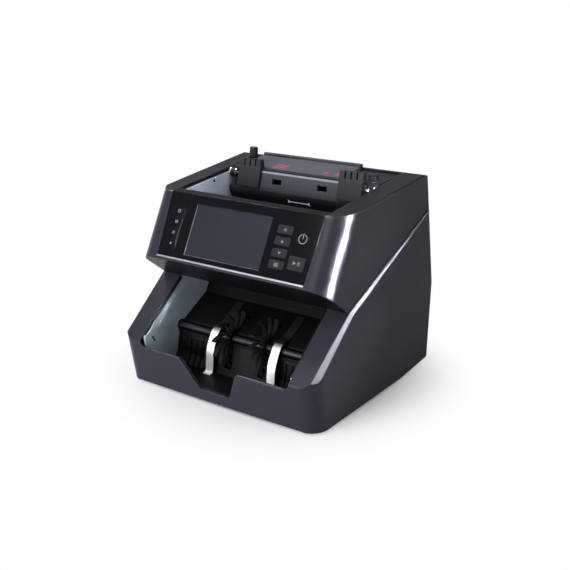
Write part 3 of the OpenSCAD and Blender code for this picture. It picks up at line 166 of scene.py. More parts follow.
def worked_metal(name, light, dark, roughness, metallic, stretch, spacing):
    """Rolled sheet or drawn bar: fine lines left by the rolls or the die, made coarser than real so
    that they show, which break up the gloss along one direction. Their spacing is in
    millimetres."""
    made, tree, shader = surface(name, {"Metallic": metallic})
    where = add(tree, "TexCoord", {}).outputs["Object"]
    along = add(tree, "Mapping", {"Vector": where, "Scale": stretch}).outputs["Vector"]
    lines = add(tree, "TexNoise", {"Vector": along, "Scale": per_mm(spacing), "Detail": 4.0})
    cloud = add(tree, "TexNoise", {"Vector": where, "Scale": per_mm(CLOUD_PATCH), "Detail": 3.0})
    shade = add(tree, "MapRange", {"Value": cloud.outputs["Fac"], "From Min": 0.3, "From Max": 0.7})
    tone = add(tree, "Mix", {0: shade.outputs["Result"], 6: linear(light), 7: linear(dark)},
               data_type="RGBA")
    gloss = add(tree, "MapRange", {"Value": lines.outputs["Fac"], "From Min": 0.25,
                                   "From Max": 0.75, "To Min": roughness * LINE_GLOSS[0],
                                   "To Max": roughness * LINE_GLOSS[1]})
    bump = add(tree, "Bump", {"Height": lines.outputs["Fac"], "Strength": LINE_BUMP,
                              "Distance": LINE_DEPTH * MM})
    feed(tree, shader, {"Base Color": tone.outputs[2], "Roughness": gloss.outputs["Result"],
                        "Normal": bump.outputs["Normal"]})
    return made


def rubber():
    """Moulded nitrile rubber: dull, slightly dusty, with a coarse pebbled skin."""
    made, tree, shader = surface("nitrile_rubber", {"IOR": COMMON_IOR, "Specular IOR Level": 0.15})
    where = add(tree, "TexCoord", {}).outputs["Object"]
    pebble = add(tree, "TexVoronoi", {"Vector": where, "Scale": per_mm(PEBBLE)})
    dust = add(tree, "TexNoise", {"Vector": where, "Scale": per_mm(DUST_PATCH), "Detail": 5.0})
    tone = add(tree, "Mix", {0: dust.outputs["Fac"], 6: linear("#08080a"), 7: linear("#101012")},
               data_type="RGBA")
    gloss = add(tree, "MapRange", {"Value": dust.outputs["Fac"], "To Min": 0.55, "To Max": 0.85})
    bump = add(tree, "Bump", {"Height": pebble.outputs["Distance"], "Strength": 0.2,
                              "Distance": 0.05 * MM})
    feed(tree, shader, {"Base Color": tone.outputs[2], "Roughness": gloss.outputs["Result"],
                        "Normal": bump.outputs["Normal"]})
    return made


def display_glass():
    """Cover glass over an unlit panel: dark blue-grey under a clear gloss, with a faint grid of
    pixels, drawn coarser than real so that it shows."""
    made, tree, shader = surface("display_glass", {
        "IOR": COMMON_IOR, "Roughness": 0.3, "Specular IOR Level": 0.15,
        "Coat Weight": 0.2, "Coat Roughness": 0.06})
    where = add(tree, "TexCoord", {}).outputs["Object"]
    pixels = add(tree, "TexVoronoi", {"Vector": where, "Scale": per_mm(PIXEL), "Randomness": 0.0})
    haze = add(tree, "TexNoise", {"Vector": where, "Scale": per_mm(HAZE_PATCH), "Detail": 2.0})
    mixed = add(tree, "Math", {0: pixels.outputs["Distance"], 1: haze.outputs["Fac"]},
                operation="MULTIPLY")
    tone = add(tree, "Mix", {0: mixed.outputs["Value"], 6: linear("#1d1f26"), 7: linear("#282a33")},
               data_type="RGBA")
    feed(tree, shader, {"Base Color": tone.outputs[2]})
    return made


def circuit_board():
    """Glass-epoxy board: green solder mask over fields of copper, with paler tracks between them,
    drawn much coarser than real so that they show through the open hatch."""
    made, tree, shader = surface("circuit_board", {"IOR": COMMON_IOR, "Roughness": 0.4})
    where = add(tree, "TexCoord", {}).outputs["Object"]
    tracks = add(tree, "TexBrick", {
        "Vector": where, "Scale": per_mm(TRACK_FIELD), "Color1": linear("#17462f"),
        "Color2": linear("#1d5438"), "Mortar": linear("#2c6b48")})
    feed(tree, shader, {"Base Color": tracks.outputs["Color"]})
    return made


def ink(name, colour, shade):
    """Screen-printed ink: dull and thin, with the faint mottle that the mesh leaves, drawn coarser
    than real so that it shows."""
    made, tree, shader = surface(name, {
        "IOR": INK_IOR, "Roughness": 0.6, "Specular IOR Level": 0.3})
    where = add(tree, "TexCoord", {}).outputs["Object"]
    mottle = add(tree, "TexNoise", {"Vector": where, "Scale": per_mm(MOTTLE), "Detail": 2.0})
    tone = add(tree, "Mix", {0: mottle.outputs["Fac"], 6: linear(colour), 7: linear(shade)},
               data_type="RGBA")
    feed(tree, shader, {"Base Color": tone.outputs[2]})
    return made


def tint(made, share, colour):
    """Lays a colour over a material's own one, by a share that comes from its nodes."""
    tree = made.node_tree
    base = tree.nodes["Principled BSDF"].inputs["Base Color"]
    own = base.links[0].from_socket
    tone = add(tree, "Mix", {0: share, 6: own, 7: linear(colour)}, data_type="RGBA")
    tree.links.new(tone.outputs[2], base)


def fade_by_height(made, start, end, colour):
    """Turns a material's colour into another one between two heights in millimetres."""
    tree = made.node_tree
    where = add(tree, "TexCoord", {}).outputs["Object"]
    height = add(tree, "SeparateXYZ", {"Vector": where}).outputs["Z"]
    share = add(tree, "MapRange", {"Value": height, "From Min": start * MM, "From Max": end * MM})
    tint(made, share.outputs["Result"], colour)


def housing_plastic():
    """Graphite ABS of the housing: satin outside, with painted shade that turns the faces which
    look down near black."""
    made = moulded("graphite_abs", "#25262e", "#454853", 0.32, grain=0.45, depth=0.006,
                   specular=0.12, edge=1.5)
    tree = made.node_tree
    facing = add(tree, "NewGeometry", {}).outputs["Normal"]
    upward = add(tree, "SeparateXYZ", {"Vector": facing}).outputs["Z"]
    # painted shade: faces that look down are darkened towards near black
    under = add(tree, "MapRange", {"Value": upward, "From Min": -0.2, "From Max": -0.5})
    tint(made, under.outputs["Result"], "#0b0b0e")
    return made


TOP_GLEAM_DEPTH = (2.6, 2.2)        # millimetres below the gate's top, between which a painted highlight makes it bright
NOSE_SHADE_HEIGHT = (227, 213)      # heights in millimetres between which painted shade turns the gate black
STRIP_SHADE_HEIGHT = (63, 70)       # heights in millimetres between which painted shade turns a strip dark


def gate_plastic():
    """Dark grey ABS of the gate, with a painted highlight that makes its top edge bright, and
    painted shade that turns its nose black."""
    made = moulded("gate_abs", "#35383e", "#4c4f56", 0.5, grain=0.7, depth=0.03, specular=0.2)
    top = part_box("feed_gate")[1].z / MM
    # painted highlight along the gate's top edge
    fade_by_height(made, top - TOP_GLEAM_DEPTH[0], top - TOP_GLEAM_DEPTH[1], "#7f848e")
    # painted shade on the nose, which sits under the head
    fade_by_height(made, *NOSE_SHADE_HEIGHT, "#101013")
    return made


def strip_with_painted_light():
    """Spring steel strip with painted light: a painted highlight makes it near white lower down,
    and painted shade makes it dark above."""
    # painted highlight: the near white tones stand in for light reflected lower down
    made = worked_metal("spring_steel_painted_light", "#f7f8fa", "#eceef1", 0.42, 0.45, DRAWN, 0.3)
    # painted shade: the strip turns dark above
    fade_by_height(made, *STRIP_SHADE_HEIGHT, "#1d1e21")
    return made


housing_abs = housing_plastic()
fascia_acrylic = moulded("black_acrylic", "#0c0d10", "#202228", 0.1, grain=1.5, depth=0.003,
                         specular=0.12)
frame_abs = moulded("frame_abs", "#121317", "#26282e", 0.35, grain=0.8, depth=0.005, specular=0.15,
                    edge=0.2)
key_abs = moulded("key_abs", "#191a1f", "#303239", 0.42, grain=0.4, depth=0.015, specular=0.12,
                  edge=0.6)
black_abs = moulded("black_abs", "#060607", "#121316", 0.5, grain=0.6, depth=0.03, specular=0.12)
guide_abs = moulded("guide_abs", "#1e2126", "#363941", 0.45, grain=0.6, depth=0.03, specular=0.15)
cover_abs = moulded("cover_abs", "#2b2d33", "#4d4f57", 0.48, grain=0.6, depth=0.03, specular=0.12)
cover_paint = moulded("grey_powder_coat", "#5f5c67", "#7d7a85", 0.6, grain=0.35, depth=0.03,
                      specular=0.12)
switch_red = moulded("red_nylon", "#8f2020", "#b14a44", 0.35, grain=0.8, depth=0.01)
zinc_steel = worked_metal("zinc_plated_steel", "#bac6d6", "#a9b5c4", 0.48, 0.1, ROLLED, 0.5)
polished_steel = worked_metal("polished_stainless", "#d8dade", "#c4c6cc", 0.14, 1.0, DRAWN, 0.3)
oxide_steel = worked_metal("black_oxide_steel", "#3a3c41", "#2c2e33", 0.4, 0.8, DRAWN, 0.4)
satin_aluminium = worked_metal("satin_aluminium", "#a4a4ab", "#93949b", 0.4, 0.9, DRAWN, 0.25)
motor_can = worked_metal("plated_motor_can", "#a6a7aa", "#8c8d91", 0.35, 1.0, DRAWN, 0.4)
sintered_brass = worked_metal("sintered_brass", "#4d4232", "#3d3529", 0.5, 0.9, DRAWN, 0.4)
white_ink = ink("white_ink", "#f4f6fa", "#e6e9ee")
grey_ink = ink("grey_ink", "#7b7e87", "#6b6e77")
red_ink = ink("red_ink", "#b34a64", "#9f3d57")

SLOT_FINISH = {
    "housing": housing_abs, "gloss_black": fascia_acrylic, "key_plastic": key_abs,
    "display": display_glass(), "trim_silver": satin_aluminium, "circuit_board": circuit_board(),
    "plate_steel": zinc_steel, "chrome": polished_steel, "black_plastic": black_abs,
    "gate_plastic": gate_plastic(), "guide_plastic": guide_abs, "cover_plastic": cover_abs,
    "cover_plate": cover_paint, "rubber": rubber(), "bush_brass": sintered_brass,
    "motor_steel": motor_can, "switch_red": switch_red, "strip_steel": strip_with_painted_light(),
    "dark_steel": oxide_steel,
}


def dress_nodes():
    """Gives each CAD node the finish of its material slot."""
    for part in frame["record"]["subparts"]:
        shown = nodes[part["node"]]
        shown.data.materials.clear()
        shown.data.materials.append(SLOT_FINISH[part["material_slot"]])


# Modelling by hand

FLATNESS = 0.02 * MM    # how far the corners of one flat face may lie apart


def begin(name, primitive, **size):
    """Adds a primitive by itself, as the start of a piece."""
    bpy.ops.object.select_all(action="DESELECT")
    bpy.context.tool_settings.mesh_select_mode = (True, False, False)
    primitive(**size)
    piece = bpy.context.object
    piece.name = name
    piece.data.name = name
    return piece


def open_mesh():
    """Goes into edit mode, with the whole piece selected."""
    bpy.ops.object.mode_set(mode="EDIT")
    bpy.ops.mesh.select_all(action="SELECT")


def close_mesh():
    """Goes back to object mode."""
    bpy.ops.object.mode_set(mode="OBJECT")


def open_block(name, width, depth, height):
    """Starts a block of these millimetres and leaves it in edit mode."""
    piece = begin(name, bpy.ops.mesh.primitive_cube_add, size=1)
    open_mesh()
    bpy.ops.transform.resize(value=(width * MM, depth * MM, height * MM))
    return piece


def pick_faces(piece, wanted):
    """Selects, in edit mode, the faces that are wanted by their middle and normal."""
    bpy.ops.mesh.select_mode(type="FACE")
    bpy.ops.mesh.select_all(action="DESELECT")
    mesh = bmesh.from_edit_mesh(piece.data)
    for face in mesh.faces:
        if wanted(face.calc_center_median(), face.normal):
            face.select_set(True)
    bmesh.update_edit_mesh(piece.data)


def turn_faces_up(piece):
    """Flips, in edit mode, the faces of a flat shape that look down."""
    pick_faces(piece, lambda middle, normal: normal.z < 0)
    bpy.ops.mesh.flip_normals()


def apply_modifier(piece, kind, **settings):
    """Adds a modifier with its settings and applies it."""
    added = piece.modifiers.new(kind.lower(), kind)
    for name, value in settings.items():
        setattr(added, name, value)
    bpy.context.view_layer.objects.active = piece
    bpy.ops.object.modifier_apply(modifier=added.name)


def thicken(piece, thickness, offset):
    """Gives a flat shape its thickness in millimetres, upwards for offset 1, both ways for 0."""
    apply_modifier(piece, "SOLIDIFY", thickness=thickness * MM, offset=offset)


def break_edges(piece, width):
    """Rounds all sharp edges by a width in millimetres."""
    apply_modifier(piece, "BEVEL", width=width * MM, segments=2, limit_method="ANGLE")


def place(piece, where, turn=(0, 0, 0)):
    """Turns a piece and carries it to its place, which goes into its mesh."""
    bpy.ops.object.select_all(action="DESELECT")
    piece.select_set(True)
    bpy.context.view_layer.objects.active = piece
    piece.rotation_euler = turn
    piece.location = where
    bpy.ops.object.transform_apply(location=True, rotation=True, scale=True)


def hand_over(piece, body, material):
    """Gives a finished piece its material and body."""
    piece.data.materials.clear()
    piece.data.materials.append(material)
    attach(piece, body)


def outer_face(node, direction):
    """Middle of a node's outermost face in a direction."""
    points = [corner.co for corner in nodes[node].data.vertices]
    reach = max(point.dot(direction) for point in points)
    near = [point for point in points if point.dot(direction) > reach - FLATNESS]
    low = Vector([min(point[i] for point in near) for i in range(3)])
    high = Vector([max(point[i] for point in near) for i in range(3)])
    return (low + high) / 2


def lean_to(direction):
    """The turn that makes a flat piece look in a direction, which has no part in x."""
    return (math.atan2(-direction.y, direction.z), 0, 0)


# Printed marks, with all sizes and places in millimetres

INK_THICKNESS = 0.06


def bar_shape(width, height, middle):
    """Adds a bar to the mark in edit mode."""
    bpy.ops.mesh.primitive_plane_add(size=1)
    bpy.ops.transform.resize(value=(width * MM, height * MM, 1))
    bpy.ops.transform.translate(value=(middle[0] * MM, middle[1] * MM, 0))


def triangle_shape(radius, middle, turn):
    """Adds a triangle that points up before its turn in degrees."""
    bpy.ops.mesh.primitive_circle_add(vertices=3, radius=radius * MM, fill_type="NGON")
    bpy.ops.transform.rotate(value=math.radians(turn), orient_axis="Z", center_override=(0, 0, 0))
    bpy.ops.transform.translate(value=(middle[0] * MM, middle[1] * MM, 0))


def ring_shape(radius, width, middle):
    """Adds a ring, as a circle that is drawn inwards by the ring's width."""
    bpy.ops.mesh.primitive_circle_add(vertices=48, radius=radius * MM, fill_type="NOTHING")
    bpy.ops.mesh.extrude_region()
    inner = (radius - width) / radius
    bpy.ops.transform.resize(value=(inner, inner, 1))
    bpy.ops.mesh.select_linked()
    bpy.ops.transform.translate(value=(middle[0] * MM, middle[1] * MM, 0))


def printed_mark(name, shapes, where, direction, body, material, cut=None):
    """A thin print on a face that looks in the direction, made of bars, triangles and rings."""
    piece = begin(name, bpy.ops.mesh.primitive_plane_add, size=0.1 * MM)
    open_mesh()
    bpy.ops.mesh.delete(type="VERT")
    for shape, *sizes in shapes:
        shape(*sizes)
    if cut:
        pick_faces(piece, cut)
        bpy.ops.mesh.delete(type="FACE")
    turn_faces_up(piece)
    close_mesh()
    thicken(piece, INK_THICKNESS, 1.0)
    place(piece, where, lean_to(direction))
    hand_over(piece, body, material)


def key_print(name, key, shapes, cut=None):
    """A grey print on the front of a key."""
    printed_mark(name, shapes, outer_face(key, OUT_OF_PANEL), OUT_OF_PANEL, key,
                 grey_ink, cut)


def power_mark():
    """Thin ring, open at the top, with a bar that stands in the gap."""
    line, half_gap, gap_foot = 0.9, 1.9, 2.0
    key_print("power_mark_ring", "power_key", [(ring_shape, 5.6, line, (0, -0.8))],
              lambda middle, normal: abs(middle.x) < half_gap * MM and middle.y > gap_foot * MM)
    key_print("power_mark_bar", "power_key", [(bar_shape, line, 6.4, (0, 2.4))])


KEY_MARKS = {
    "right_key_4": [(bar_shape, 4.6, 0.7, (0, 0)), (bar_shape, 0.7, 4.6, (0, 0))],
    "right_key_3": [(triangle_shape, 2.0, (0, -0.4), 0)],
    "right_key_2": [(triangle_shape, 2.0, (0, 0.4), 180)],
    "right_key_1": [(bar_shape, 5.4, 0.7, (0, y)) for y in (1.5, 0, -1.5)],
    "left_key_4": [(ring_shape, 2.0, 0.7, (0, 0))],
    "left_key_3": [(bar_shape, 1.0, 3.4, (x, 0)) for x in (-1.2, 1.2)],
    "left_key_2": [(bar_shape, 3.2, 0.8, (0, y)) for y in (0.9, -0.9)],
    "left_key_1": [(triangle_shape, 1.9, (0.3, 0), 90)],
    "start_key": [(triangle_shape, 2.4, (-3.0, 0.4), 90), (bar_shape, 0.8, 4.0, (2.2, 0.4)),
                  (bar_shape, 0.8, 4.0, (4.0, 0.4))],
}


def key_marks():
    """Plain pictograms on the keys."""
    for key, shapes in KEY_MARKS.items():
        key_print(key + "_mark", key, shapes)


NOSE_MIDDLE = Vector((1.0, 63.37, 221.0))    # on the axis of the gate's round nose
NOSE_RADIUS = 28.02                          # just over the nose
NOSE_ARROW_ANGLE = math.radians(21)          # below level


def nose_arrow():
    """White double arrow on the round nose of the gate, which shows which way the notes spread."""
    out = Vector((0, -math.cos(NOSE_ARROW_ANGLE), -math.sin(NOSE_ARROW_ANGLE)))
    where = NOSE_MIDDLE * MM + out * NOSE_RADIUS * MM
    shapes = [(bar_shape, 26.0, 1.3, (0, 0)), (triangle_shape, 3.0, (-14.5, 0), 90),
              (triangle_shape, 3.0, (14.5, 0), -90)]
    printed_mark("nose_arrow", shapes, where, out, "chassis", white_ink)


# Name, place across, way up the slope from the lid plate's front edge, and shapes
LID_MARKS = [
    ("lid_mark_left", -44.4, 10.5, [(bar_shape, 20, 5.4, (0, y)) for y in (3.9, -3.9)]),
    ("lid_mark_right", 24.0, 9.5, [(triangle_shape, 6.4, (0, 0), -90),
                                   (bar_shape, 5.4, 10.0, (17, 0))]),
]


def lid_marks():
    """Plain red marks on the sloping lid plate: two bars on the left, an arrow head and a bar on
    the right."""
    corners = [corner.co for corner in nodes["top_plate"].data.vertices]
    front_end = min(corner.y for corner in corners) + 0.1 * MM
    front = max((corner for corner in corners if corner.y < front_end), key=lambda c: c.z)
    back = max(corners, key=lambda c: c.z)
    along = Vector((0, back.y - front.y, back.z - front.z)).normalized()
    up = Vector((0, -along.z, along.y))
    for name, across, way, shapes in LID_MARKS:
        where = Vector((across * MM, front.y, front.z)) + along * way * MM
        printed_mark(name, shapes, where, up, "chassis", red_ink)


# Small fittings, with all sizes and places in millimetres

SIDES = (("left", -1), ("right", 1))
PLATE_FACE = 107.0      # from the middle to the inner face of a side plate
PLATE_MIDDLE = 107.75   # from the middle to half the thickness of a side plate
SEAT = 0.05             # how deep a lens sits in its plate
RING_ROUNDING = 0.2


def spread(pattern, material, places):
    """Copies a pattern piece to each of its places, each copy with its own mesh."""
    for name, body, where, turn in places:
        copied = pattern.copy()
        copied.data = pattern.data.copy()
        copied.name = name
        copied.data.name = name
        bpy.context.scene.collection.objects.link(copied)
        place(copied, Vector(where) * MM, turn)
        hand_over(copied, body, material)
    bpy.data.objects.remove(pattern)


def both_sides(label, x, y, z, turn):
    """The places of a left and a right copy."""
    return [(f"{side}_{label}", "chassis", (sign * x, y, z), turn) for side, sign in SIDES]


def ring_piece(name, inner, outer, depth):
    """A ring round the Z axis: a circle drawn inwards, thickened, with broken edges."""
    piece = begin(name, bpy.ops.mesh.primitive_circle_add, vertices=48, radius=outer * MM,
                  fill_type="NOTHING")
    open_mesh()
    bpy.ops.mesh.extrude_region()
    bpy.ops.transform.resize(value=(inner / outer, inner / outer, 1))
    turn_faces_up(piece)
    close_mesh()
    thicken(piece, depth, 0.0)
    break_edges(piece, RING_ROUNDING)
    bpy.ops.object.shade_smooth_by_angle()
    return piece


LENS_RADIUS = 1.9
LENS_DOME = 0.45    # height of the dome as a share of its radius
EYES = [(-116.6, 55.5), (-118.6, 59.0), (6.37, 235.5), (5.37, 231.5)]    # y and z in a side plate


def lens_beads():
    """Domed lenses of the note sensors, over the eyes of the side plates."""
    bead = begin("lens_bead", bpy.ops.mesh.primitive_uv_sphere_add, segments=24, ring_count=12,
                 radius=LENS_RADIUS * MM)
    open_mesh()
    bpy.ops.mesh.bisect(plane_co=(0, 0, 0), plane_no=(0, 0, 1), use_fill=True, clear_inner=True)
    bpy.ops.mesh.select_all(action="SELECT")
    bpy.ops.transform.resize(value=(1, 1, LENS_DOME), center_override=(0, 0, 0))
    close_mesh()
    bpy.ops.object.shade_smooth_by_angle(angle=math.radians(50))
    places = []
    for side, sign in SIDES:
        for number, (y, z) in enumerate(EYES, 1):
            where = (sign * (PLATE_FACE + SEAT), y, z)
            places.append((f"{side}_lens_{number}", "chassis", where, (0, -sign * math.pi / 2, 0)))
    spread(bead, fascia_acrylic, places)


PIN_BORE = 5.05    # radius of the hole in what sits on a gate pin
# Outer radius, depth, and distance of its middle from the middle of the object
WASHER = (6.3, 1.2, 106.35)
COLLAR = (5.5, 6.0, 102.6)


def gate_pin_rings():
    """Bright washer against each side plate and a black collar on each gate pin."""
    low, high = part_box("gate_pins")
    y = (low.y + high.y) / 2 / MM
    z = (low.z + high.z) / 2 / MM
    across = (0, math.pi / 2, 0)
    for label, (radius, depth, x), slot, material in (
            ("pin_washer", WASHER, "chrome", polished_steel),
            ("pin_collar", COLLAR, "black_plastic", black_abs)):
        ring = ring_piece(label, PIN_BORE, radius, depth)
        spread(ring, material, both_sides(label, x, y, z, across))


GUARD_FOOT = Vector((0, -131.8, 65.6))
GUARD_HEAD = Vector((0, -62.4, 121.6))
GUARD_WIDTH = 2.4
GUARD_WALL = 0.4
GUARD_GROOVE = 1.5
GUARD_ROUNDING = 0.15


def edge_guards():
    """Black profile pushed over the sloping front edge of each side plate."""
    run = GUARD_HEAD - GUARD_FOOT
    guard = open_block("edge_guard", GUARD_WIDTH, run.length, GUARD_WIDTH)
    pick_faces(guard, lambda middle, normal: normal.z < -0.9)
    bpy.ops.mesh.inset(thickness=GUARD_WALL * MM)
    bpy.ops.mesh.inset(thickness=0, depth=-GUARD_GROOVE * MM)
    close_mesh()
    break_edges(guard, GUARD_ROUNDING)
    middle = (GUARD_FOOT + GUARD_HEAD) / 2
    slope = (math.atan2(run.z, run.y), 0, 0)
    spread(guard, black_abs,
           both_sides("edge_guard", PLATE_MIDDLE, middle.y, middle.z, slope))


RIDGE_SIZE = (7.2, 1.2, 1.0)
RIDGE_ROUNDING = 0.3
RIDGE_COUNT = 5
RIDGE_STEP = 2.2
RIDGE_X = -82.0
TOP_RIDGE_Z = 267.0
LEVER_FACE = (51.4, 247.0)    # y and z of a point on the lever's front
LEVER_LEAN = 0.104            # how far back that front goes for each millimetre up


def lever_ridges():
    """Grip ridges across the front of the release lever."""
    ridge = open_block("lever_ridge", *RIDGE_SIZE)
    bpy.ops.mesh.bevel(offset=RIDGE_ROUNDING * MM, segments=3, affect="EDGES")
    close_mesh()
    bpy.ops.object.shade_smooth_by_angle()
    places = []
    for number in range(RIDGE_COUNT):
        z = TOP_RIDGE_Z - RIDGE_STEP * number
        y = LEVER_FACE[0] + LEVER_LEAN * (z - LEVER_FACE[1])
        places.append((f"lever_ridge_{number + 1}", "release_lever", (RIDGE_X, y, z), (0, 0, 0)))
    spread(ridge, guide_abs, places)


CAP_RADIUS = 6.2
CAP_DEPTH = 8.0
CAP_SIDES = 48
CAP_CHAMFER = 0.3
CAP_RIM = 1.2
DISH_RUN, DISH_DEPTH = 0.4, 0.7      # of the slope into the dish
FLUTE_WALL, FLUTE_DEPTH = 0.12, 0.3  # of the knurl, on every other side
CAP_BELOW_TOP = 0.9                  # from the screw's top down to the middle of the cap


def knob_cap():
    """Knurled plastic cap over the head of the gap screw, dished on top."""
    low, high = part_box("gap_screw")
    screw = (low + high) / 2 / MM
    cap = begin("gap_knob", bpy.ops.mesh.primitive_cylinder_add, vertices=CAP_SIDES,
                radius=CAP_RADIUS * MM, depth=CAP_DEPTH * MM)
    open_mesh()
    pick_faces(cap, lambda middle, normal: normal.z > 0.9)
    bpy.ops.mesh.inset(thickness=CAP_CHAMFER * MM, depth=CAP_CHAMFER * MM)
    bpy.ops.mesh.inset(thickness=CAP_RIM * MM)
    bpy.ops.mesh.inset(thickness=DISH_RUN * MM, depth=-DISH_DEPTH * MM)
    step = 2 * math.pi / CAP_SIDES
    pick_faces(cap, lambda middle, normal: abs(middle.z) < 1.0 * MM
               and math.floor(math.atan2(middle.y, middle.x) / step) % 2 == 0)
    bpy.ops.mesh.inset(thickness=FLUTE_WALL * MM, depth=-FLUTE_DEPTH * MM, use_individual=True)
    close_mesh()
    bpy.ops.object.shade_smooth_by_angle()
    place(cap, Vector((screw.x, screw.y, high.z / MM - CAP_BELOW_TOP)) * MM)
    hand_over(cap, "gap_screw", guide_abs)


RIM_OVERLAP = 1.0          # how much wider the frame is than the glass
RIM_WIDTH = 0.7
RIM_HEIGHT = 0.3
RIM_ROUNDING = 0.1
PALE_EDGE_WIDTH, PALE_EDGE_HEIGHT = 0.45, 0.4
PALE_EDGE_SHORTER = 1.0    # how much shorter it is than the frame
PALE_EDGE_INSET = 0.4
PALE_EDGE_LIFT = 0.2


def display_frame():
    """Thin raised frame round the display glass, with a pale bar on its left as a painted
    highlight.
    """
    low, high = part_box("display_lens")
    middle = outer_face("display_lens", OUT_OF_PANEL)
    lean = lean_to(OUT_OF_PANEL)
    width = (high.x - low.x) / MM + RIM_OVERLAP
    height = (high.z - low.z) / -OUT_OF_PANEL.y / MM
    rim = begin("display_frame", bpy.ops.mesh.primitive_plane_add, size=1)
    open_mesh()
    bpy.ops.transform.resize(value=(width * MM, height * MM, 1))
    bpy.ops.mesh.inset(thickness=RIM_WIDTH * MM)
    bpy.ops.mesh.delete(type="FACE")
    close_mesh()
    thicken(rim, RIM_HEIGHT, 1.0)
    break_edges(rim, RIM_ROUNDING)
    place(rim, middle, lean)
    hand_over(rim, "chassis", frame_abs)
    # painted highlight: a pale bar along the frame's left edge, where that edge catches the light
    edge = open_block("display_painted_highlight", PALE_EDGE_WIDTH, height - PALE_EDGE_SHORTER,
                      PALE_EDGE_HEIGHT)
    bpy.ops.mesh.bevel(offset=RIM_ROUNDING * MM, segments=2, affect="EDGES")
    close_mesh()
    left = Vector((width / 2 - PALE_EDGE_INSET, 0, 0)) * MM
    place(edge, middle - left + OUT_OF_PANEL * PALE_EDGE_LIFT * MM, lean)
    hand_over(edge, "chassis", grey_ink)


# Camera, light and floor, in metres, watts and degrees

CAMERA_PLACE = Vector((0.6083, -0.8546, 0.4626))
CAMERA_TARGET = Vector((0.0810, -0.1061, 0.1586))
LENS_MM = 56.45
SENSOR_MM = 36


def set_camera():
    """The photograph's viewpoint."""
    data = bpy.data.cameras.new("camera")
    data.lens = LENS_MM
    data.sensor_width = SENSOR_MM
    data.clip_start = 0.01
    data.clip_end = 200
    camera = bpy.data.objects.new("camera", data)
    bpy.context.scene.collection.objects.link(camera)
    camera.location = CAMERA_PLACE
    camera.rotation_euler = (CAMERA_TARGET - CAMERA_PLACE).to_track_quat("-Z", "Y").to_euler()
    bpy.context.scene.camera = camera


OBJECT_MIDDLE = (0, 0, 0.12)
EDGE_LIGHT_DISTANCE = 2.0
ROOM_STRENGTH = 0.24           # of the light that the room gives to the object
HORIZON_HEIGHT = (0.2, 0.14)   # rise of a direction that sees the first white, and only white

# Name, place, width, height and power
SOFTBOXES = [
    ("key_box", (-0.35, -1.35, 1.6), 1.1, 1.1, 26),
    ("low_front_box", (-0.25, -1.45, 0.25), 1.0, 0.4, 22),
    ("right_box", (0.75, -0.1, 1.5), 1.0, 1.0, 2),
]
BACK_SOFTBOX = ("back_left_box", (-1.2, 1.3, 0.35), 1.0, 0.6, 10)

# Name, point on the edge, direction from there to the lamp, width, height, power, grid and lean
EDGE_LIGHTS = [
    ("head_edge", (0.12, -0.092, 0.17), (0.995, 0.05, 0.08), 0.2, 0.24, 2.6, 4.5, 27),
    ("pillar_edge", (0.13, -0.10, 0.10), (0.735, -0.025, 0.68), 0.4, 0.4, 150, 180, 0),
    ("seam_edge", (0.14, -0.03, 0.125), (0.609, 0.302, 0.735), 0.2, 0.2, 0.6, 7, 0),
    ("lip_edge", (0.0, -0.135, 0.05), (-0.545, 0.15, 0.825), 0.35, 0.35, 60, 180, 0),
]


def softbox(name, where, width, height, power, colour="#ffffff", aim=OBJECT_MIDDLE):
    """Area lamp that points at the middle of the object, or at another aim."""
    data = bpy.data.lights.new(name, "AREA")
    data.shape = "RECTANGLE"
    data.size = width
    data.size_y = height
    data.energy = power
    data.color = linear(colour)[:3]
    lamp = bpy.data.objects.new(name, data)
    bpy.context.scene.collection.objects.link(lamp)
    lamp.location = where
    lamp.rotation_euler = (Vector(aim) - Vector(where)).to_track_quat("-Z", "Y").to_euler()
    return lamp


def edge_light(name, edge, direction, width, height, power, grid, lean):
    """Small far cool lamp that only shows as a gleam on one edge, and adds no light to dull faces.
    A grid in front of it keeps its beam within this many degrees, and it leans as its edge does."""
    where = Vector(edge) + EDGE_LIGHT_DISTANCE * Vector(direction)
    lamp = softbox(name, where, width, height, power, "#eef0ff", edge)
    aimed = lamp.rotation_euler.to_quaternion()
    lamp.rotation_euler = (aimed @ Quaternion((0, 0, 1), math.radians(-lean))).to_euler()
    lamp.data.spread = math.radians(grid)
    lamp.visible_diffuse = False


def mirrored_rays(tree):
    """The rays of a material or world, and whether one comes from metal or glass."""
    rays = add(tree, "LightPath", {}).outputs
    mirrored = add(tree, "Math", {0: rays["Is Glossy Ray"], 1: rays["Is Transmission Ray"]},
                   operation="MAXIMUM")
    return rays, mirrored.outputs[0]


def light_studio():
    """Large key from the front left, weaker boxes round it, one of which shows in no gloss, and
    edge lights."""
    for box in SOFTBOXES:
        softbox(*box)
    softbox(*BACK_SOFTBOX).visible_glossy = False
    for light in EDGE_LIGHTS:
        edge_light(*light)


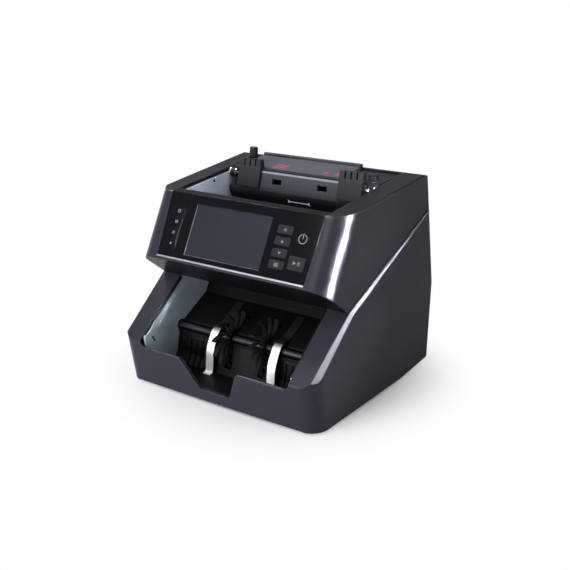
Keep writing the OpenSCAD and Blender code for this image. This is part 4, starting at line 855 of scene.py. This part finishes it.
def set_room():
    """Grey room with a white horizon, which only the camera and the gloss of the object see."""
    world = bpy.data.worlds.new("studio")
    bpy.context.scene.world = world
    world.use_nodes = True
    tree = world.node_tree
    room = tree.nodes["Background"]
    room.inputs["Color"].default_value = linear("#ffffff")
    where = add(tree, "TexCoord", {}).outputs["Generated"]
    height = add(tree, "SeparateXYZ", {"Vector": where}).outputs["Z"]
    low = add(tree, "MapRange", {"Value": height, "From Min": HORIZON_HEIGHT[0],
                                 "From Max": HORIZON_HEIGHT[1]})
    rays, mirrored = mirrored_rays(tree)
    seen = add(tree, "Math", {0: mirrored, 1: rays["Is Camera Ray"]}, operation="MAXIMUM")
    share = add(tree, "Math", {0: low.outputs["Result"], 1: seen.outputs[0]}, operation="MULTIPLY")
    strength = add(tree, "MapRange", {"Value": share.outputs[0], "To Min": ROOM_STRENGTH,
                                      "To Max": 1.0})
    feed(tree, room, {"Strength": strength.outputs["Result"]})


FLOOR_SIZE = 120
SHADOW_REACH = (0.1, 0.25)    # from the middle: where the floor starts to whiten, and is white
GLOSS_REACH = (0.9, 2.0)      # the same for the floor as the object's gloss shows it


def lay_floor():
    """White floor that keeps the shadow near the object and turns pure white further out."""
    floor = begin("studio_floor", bpy.ops.mesh.primitive_plane_add, size=FLOOR_SIZE)
    made, tree, shader = surface("white_floor", {
        "Base Color": linear("#ececef"), "Roughness": 0.9, "Specular IOR Level": 0.0})
    where = add(tree, "TexCoord", {}).outputs["Object"]
    distance = add(tree, "VectorMath", {0: where}, operation="LENGTH").outputs["Value"]
    near, far = [
        add(tree, "MapRange", {"Value": distance, "From Min": start, "From Max": end},
            interpolation_type="SMOOTHSTEP").outputs["Result"]
        for start, end in (SHADOW_REACH, GLOSS_REACH)]
    rays, mirrored = mirrored_rays(tree)
    direct = add(tree, "Math", {0: rays["Is Camera Ray"], 1: near}, operation="MULTIPLY")
    share = add(tree, "Math", {0: mirrored, 1: far, 2: direct.outputs[0]}, operation="MULTIPLY_ADD")
    white = add(tree, "Emission", {"Strength": 1.0})
    mixed = add(tree, "MixShader", {0: share.outputs[0], 1: shader.outputs[0], 2: white.outputs[0]})
    feed(tree, tree.nodes["Material Output"], {"Surface": mixed.outputs[0]})
    floor.data.materials.append(made)


set_camera()
light_studio()
set_room()
lay_floor()
dress_nodes()
power_mark()
key_marks()
nose_arrow()
lid_marks()
lens_beads()
gate_pin_rings()
edge_guards()
lever_ridges()
knob_cap()
display_frame()

bpy.context.scene.view_settings.view_transform = "Standard"
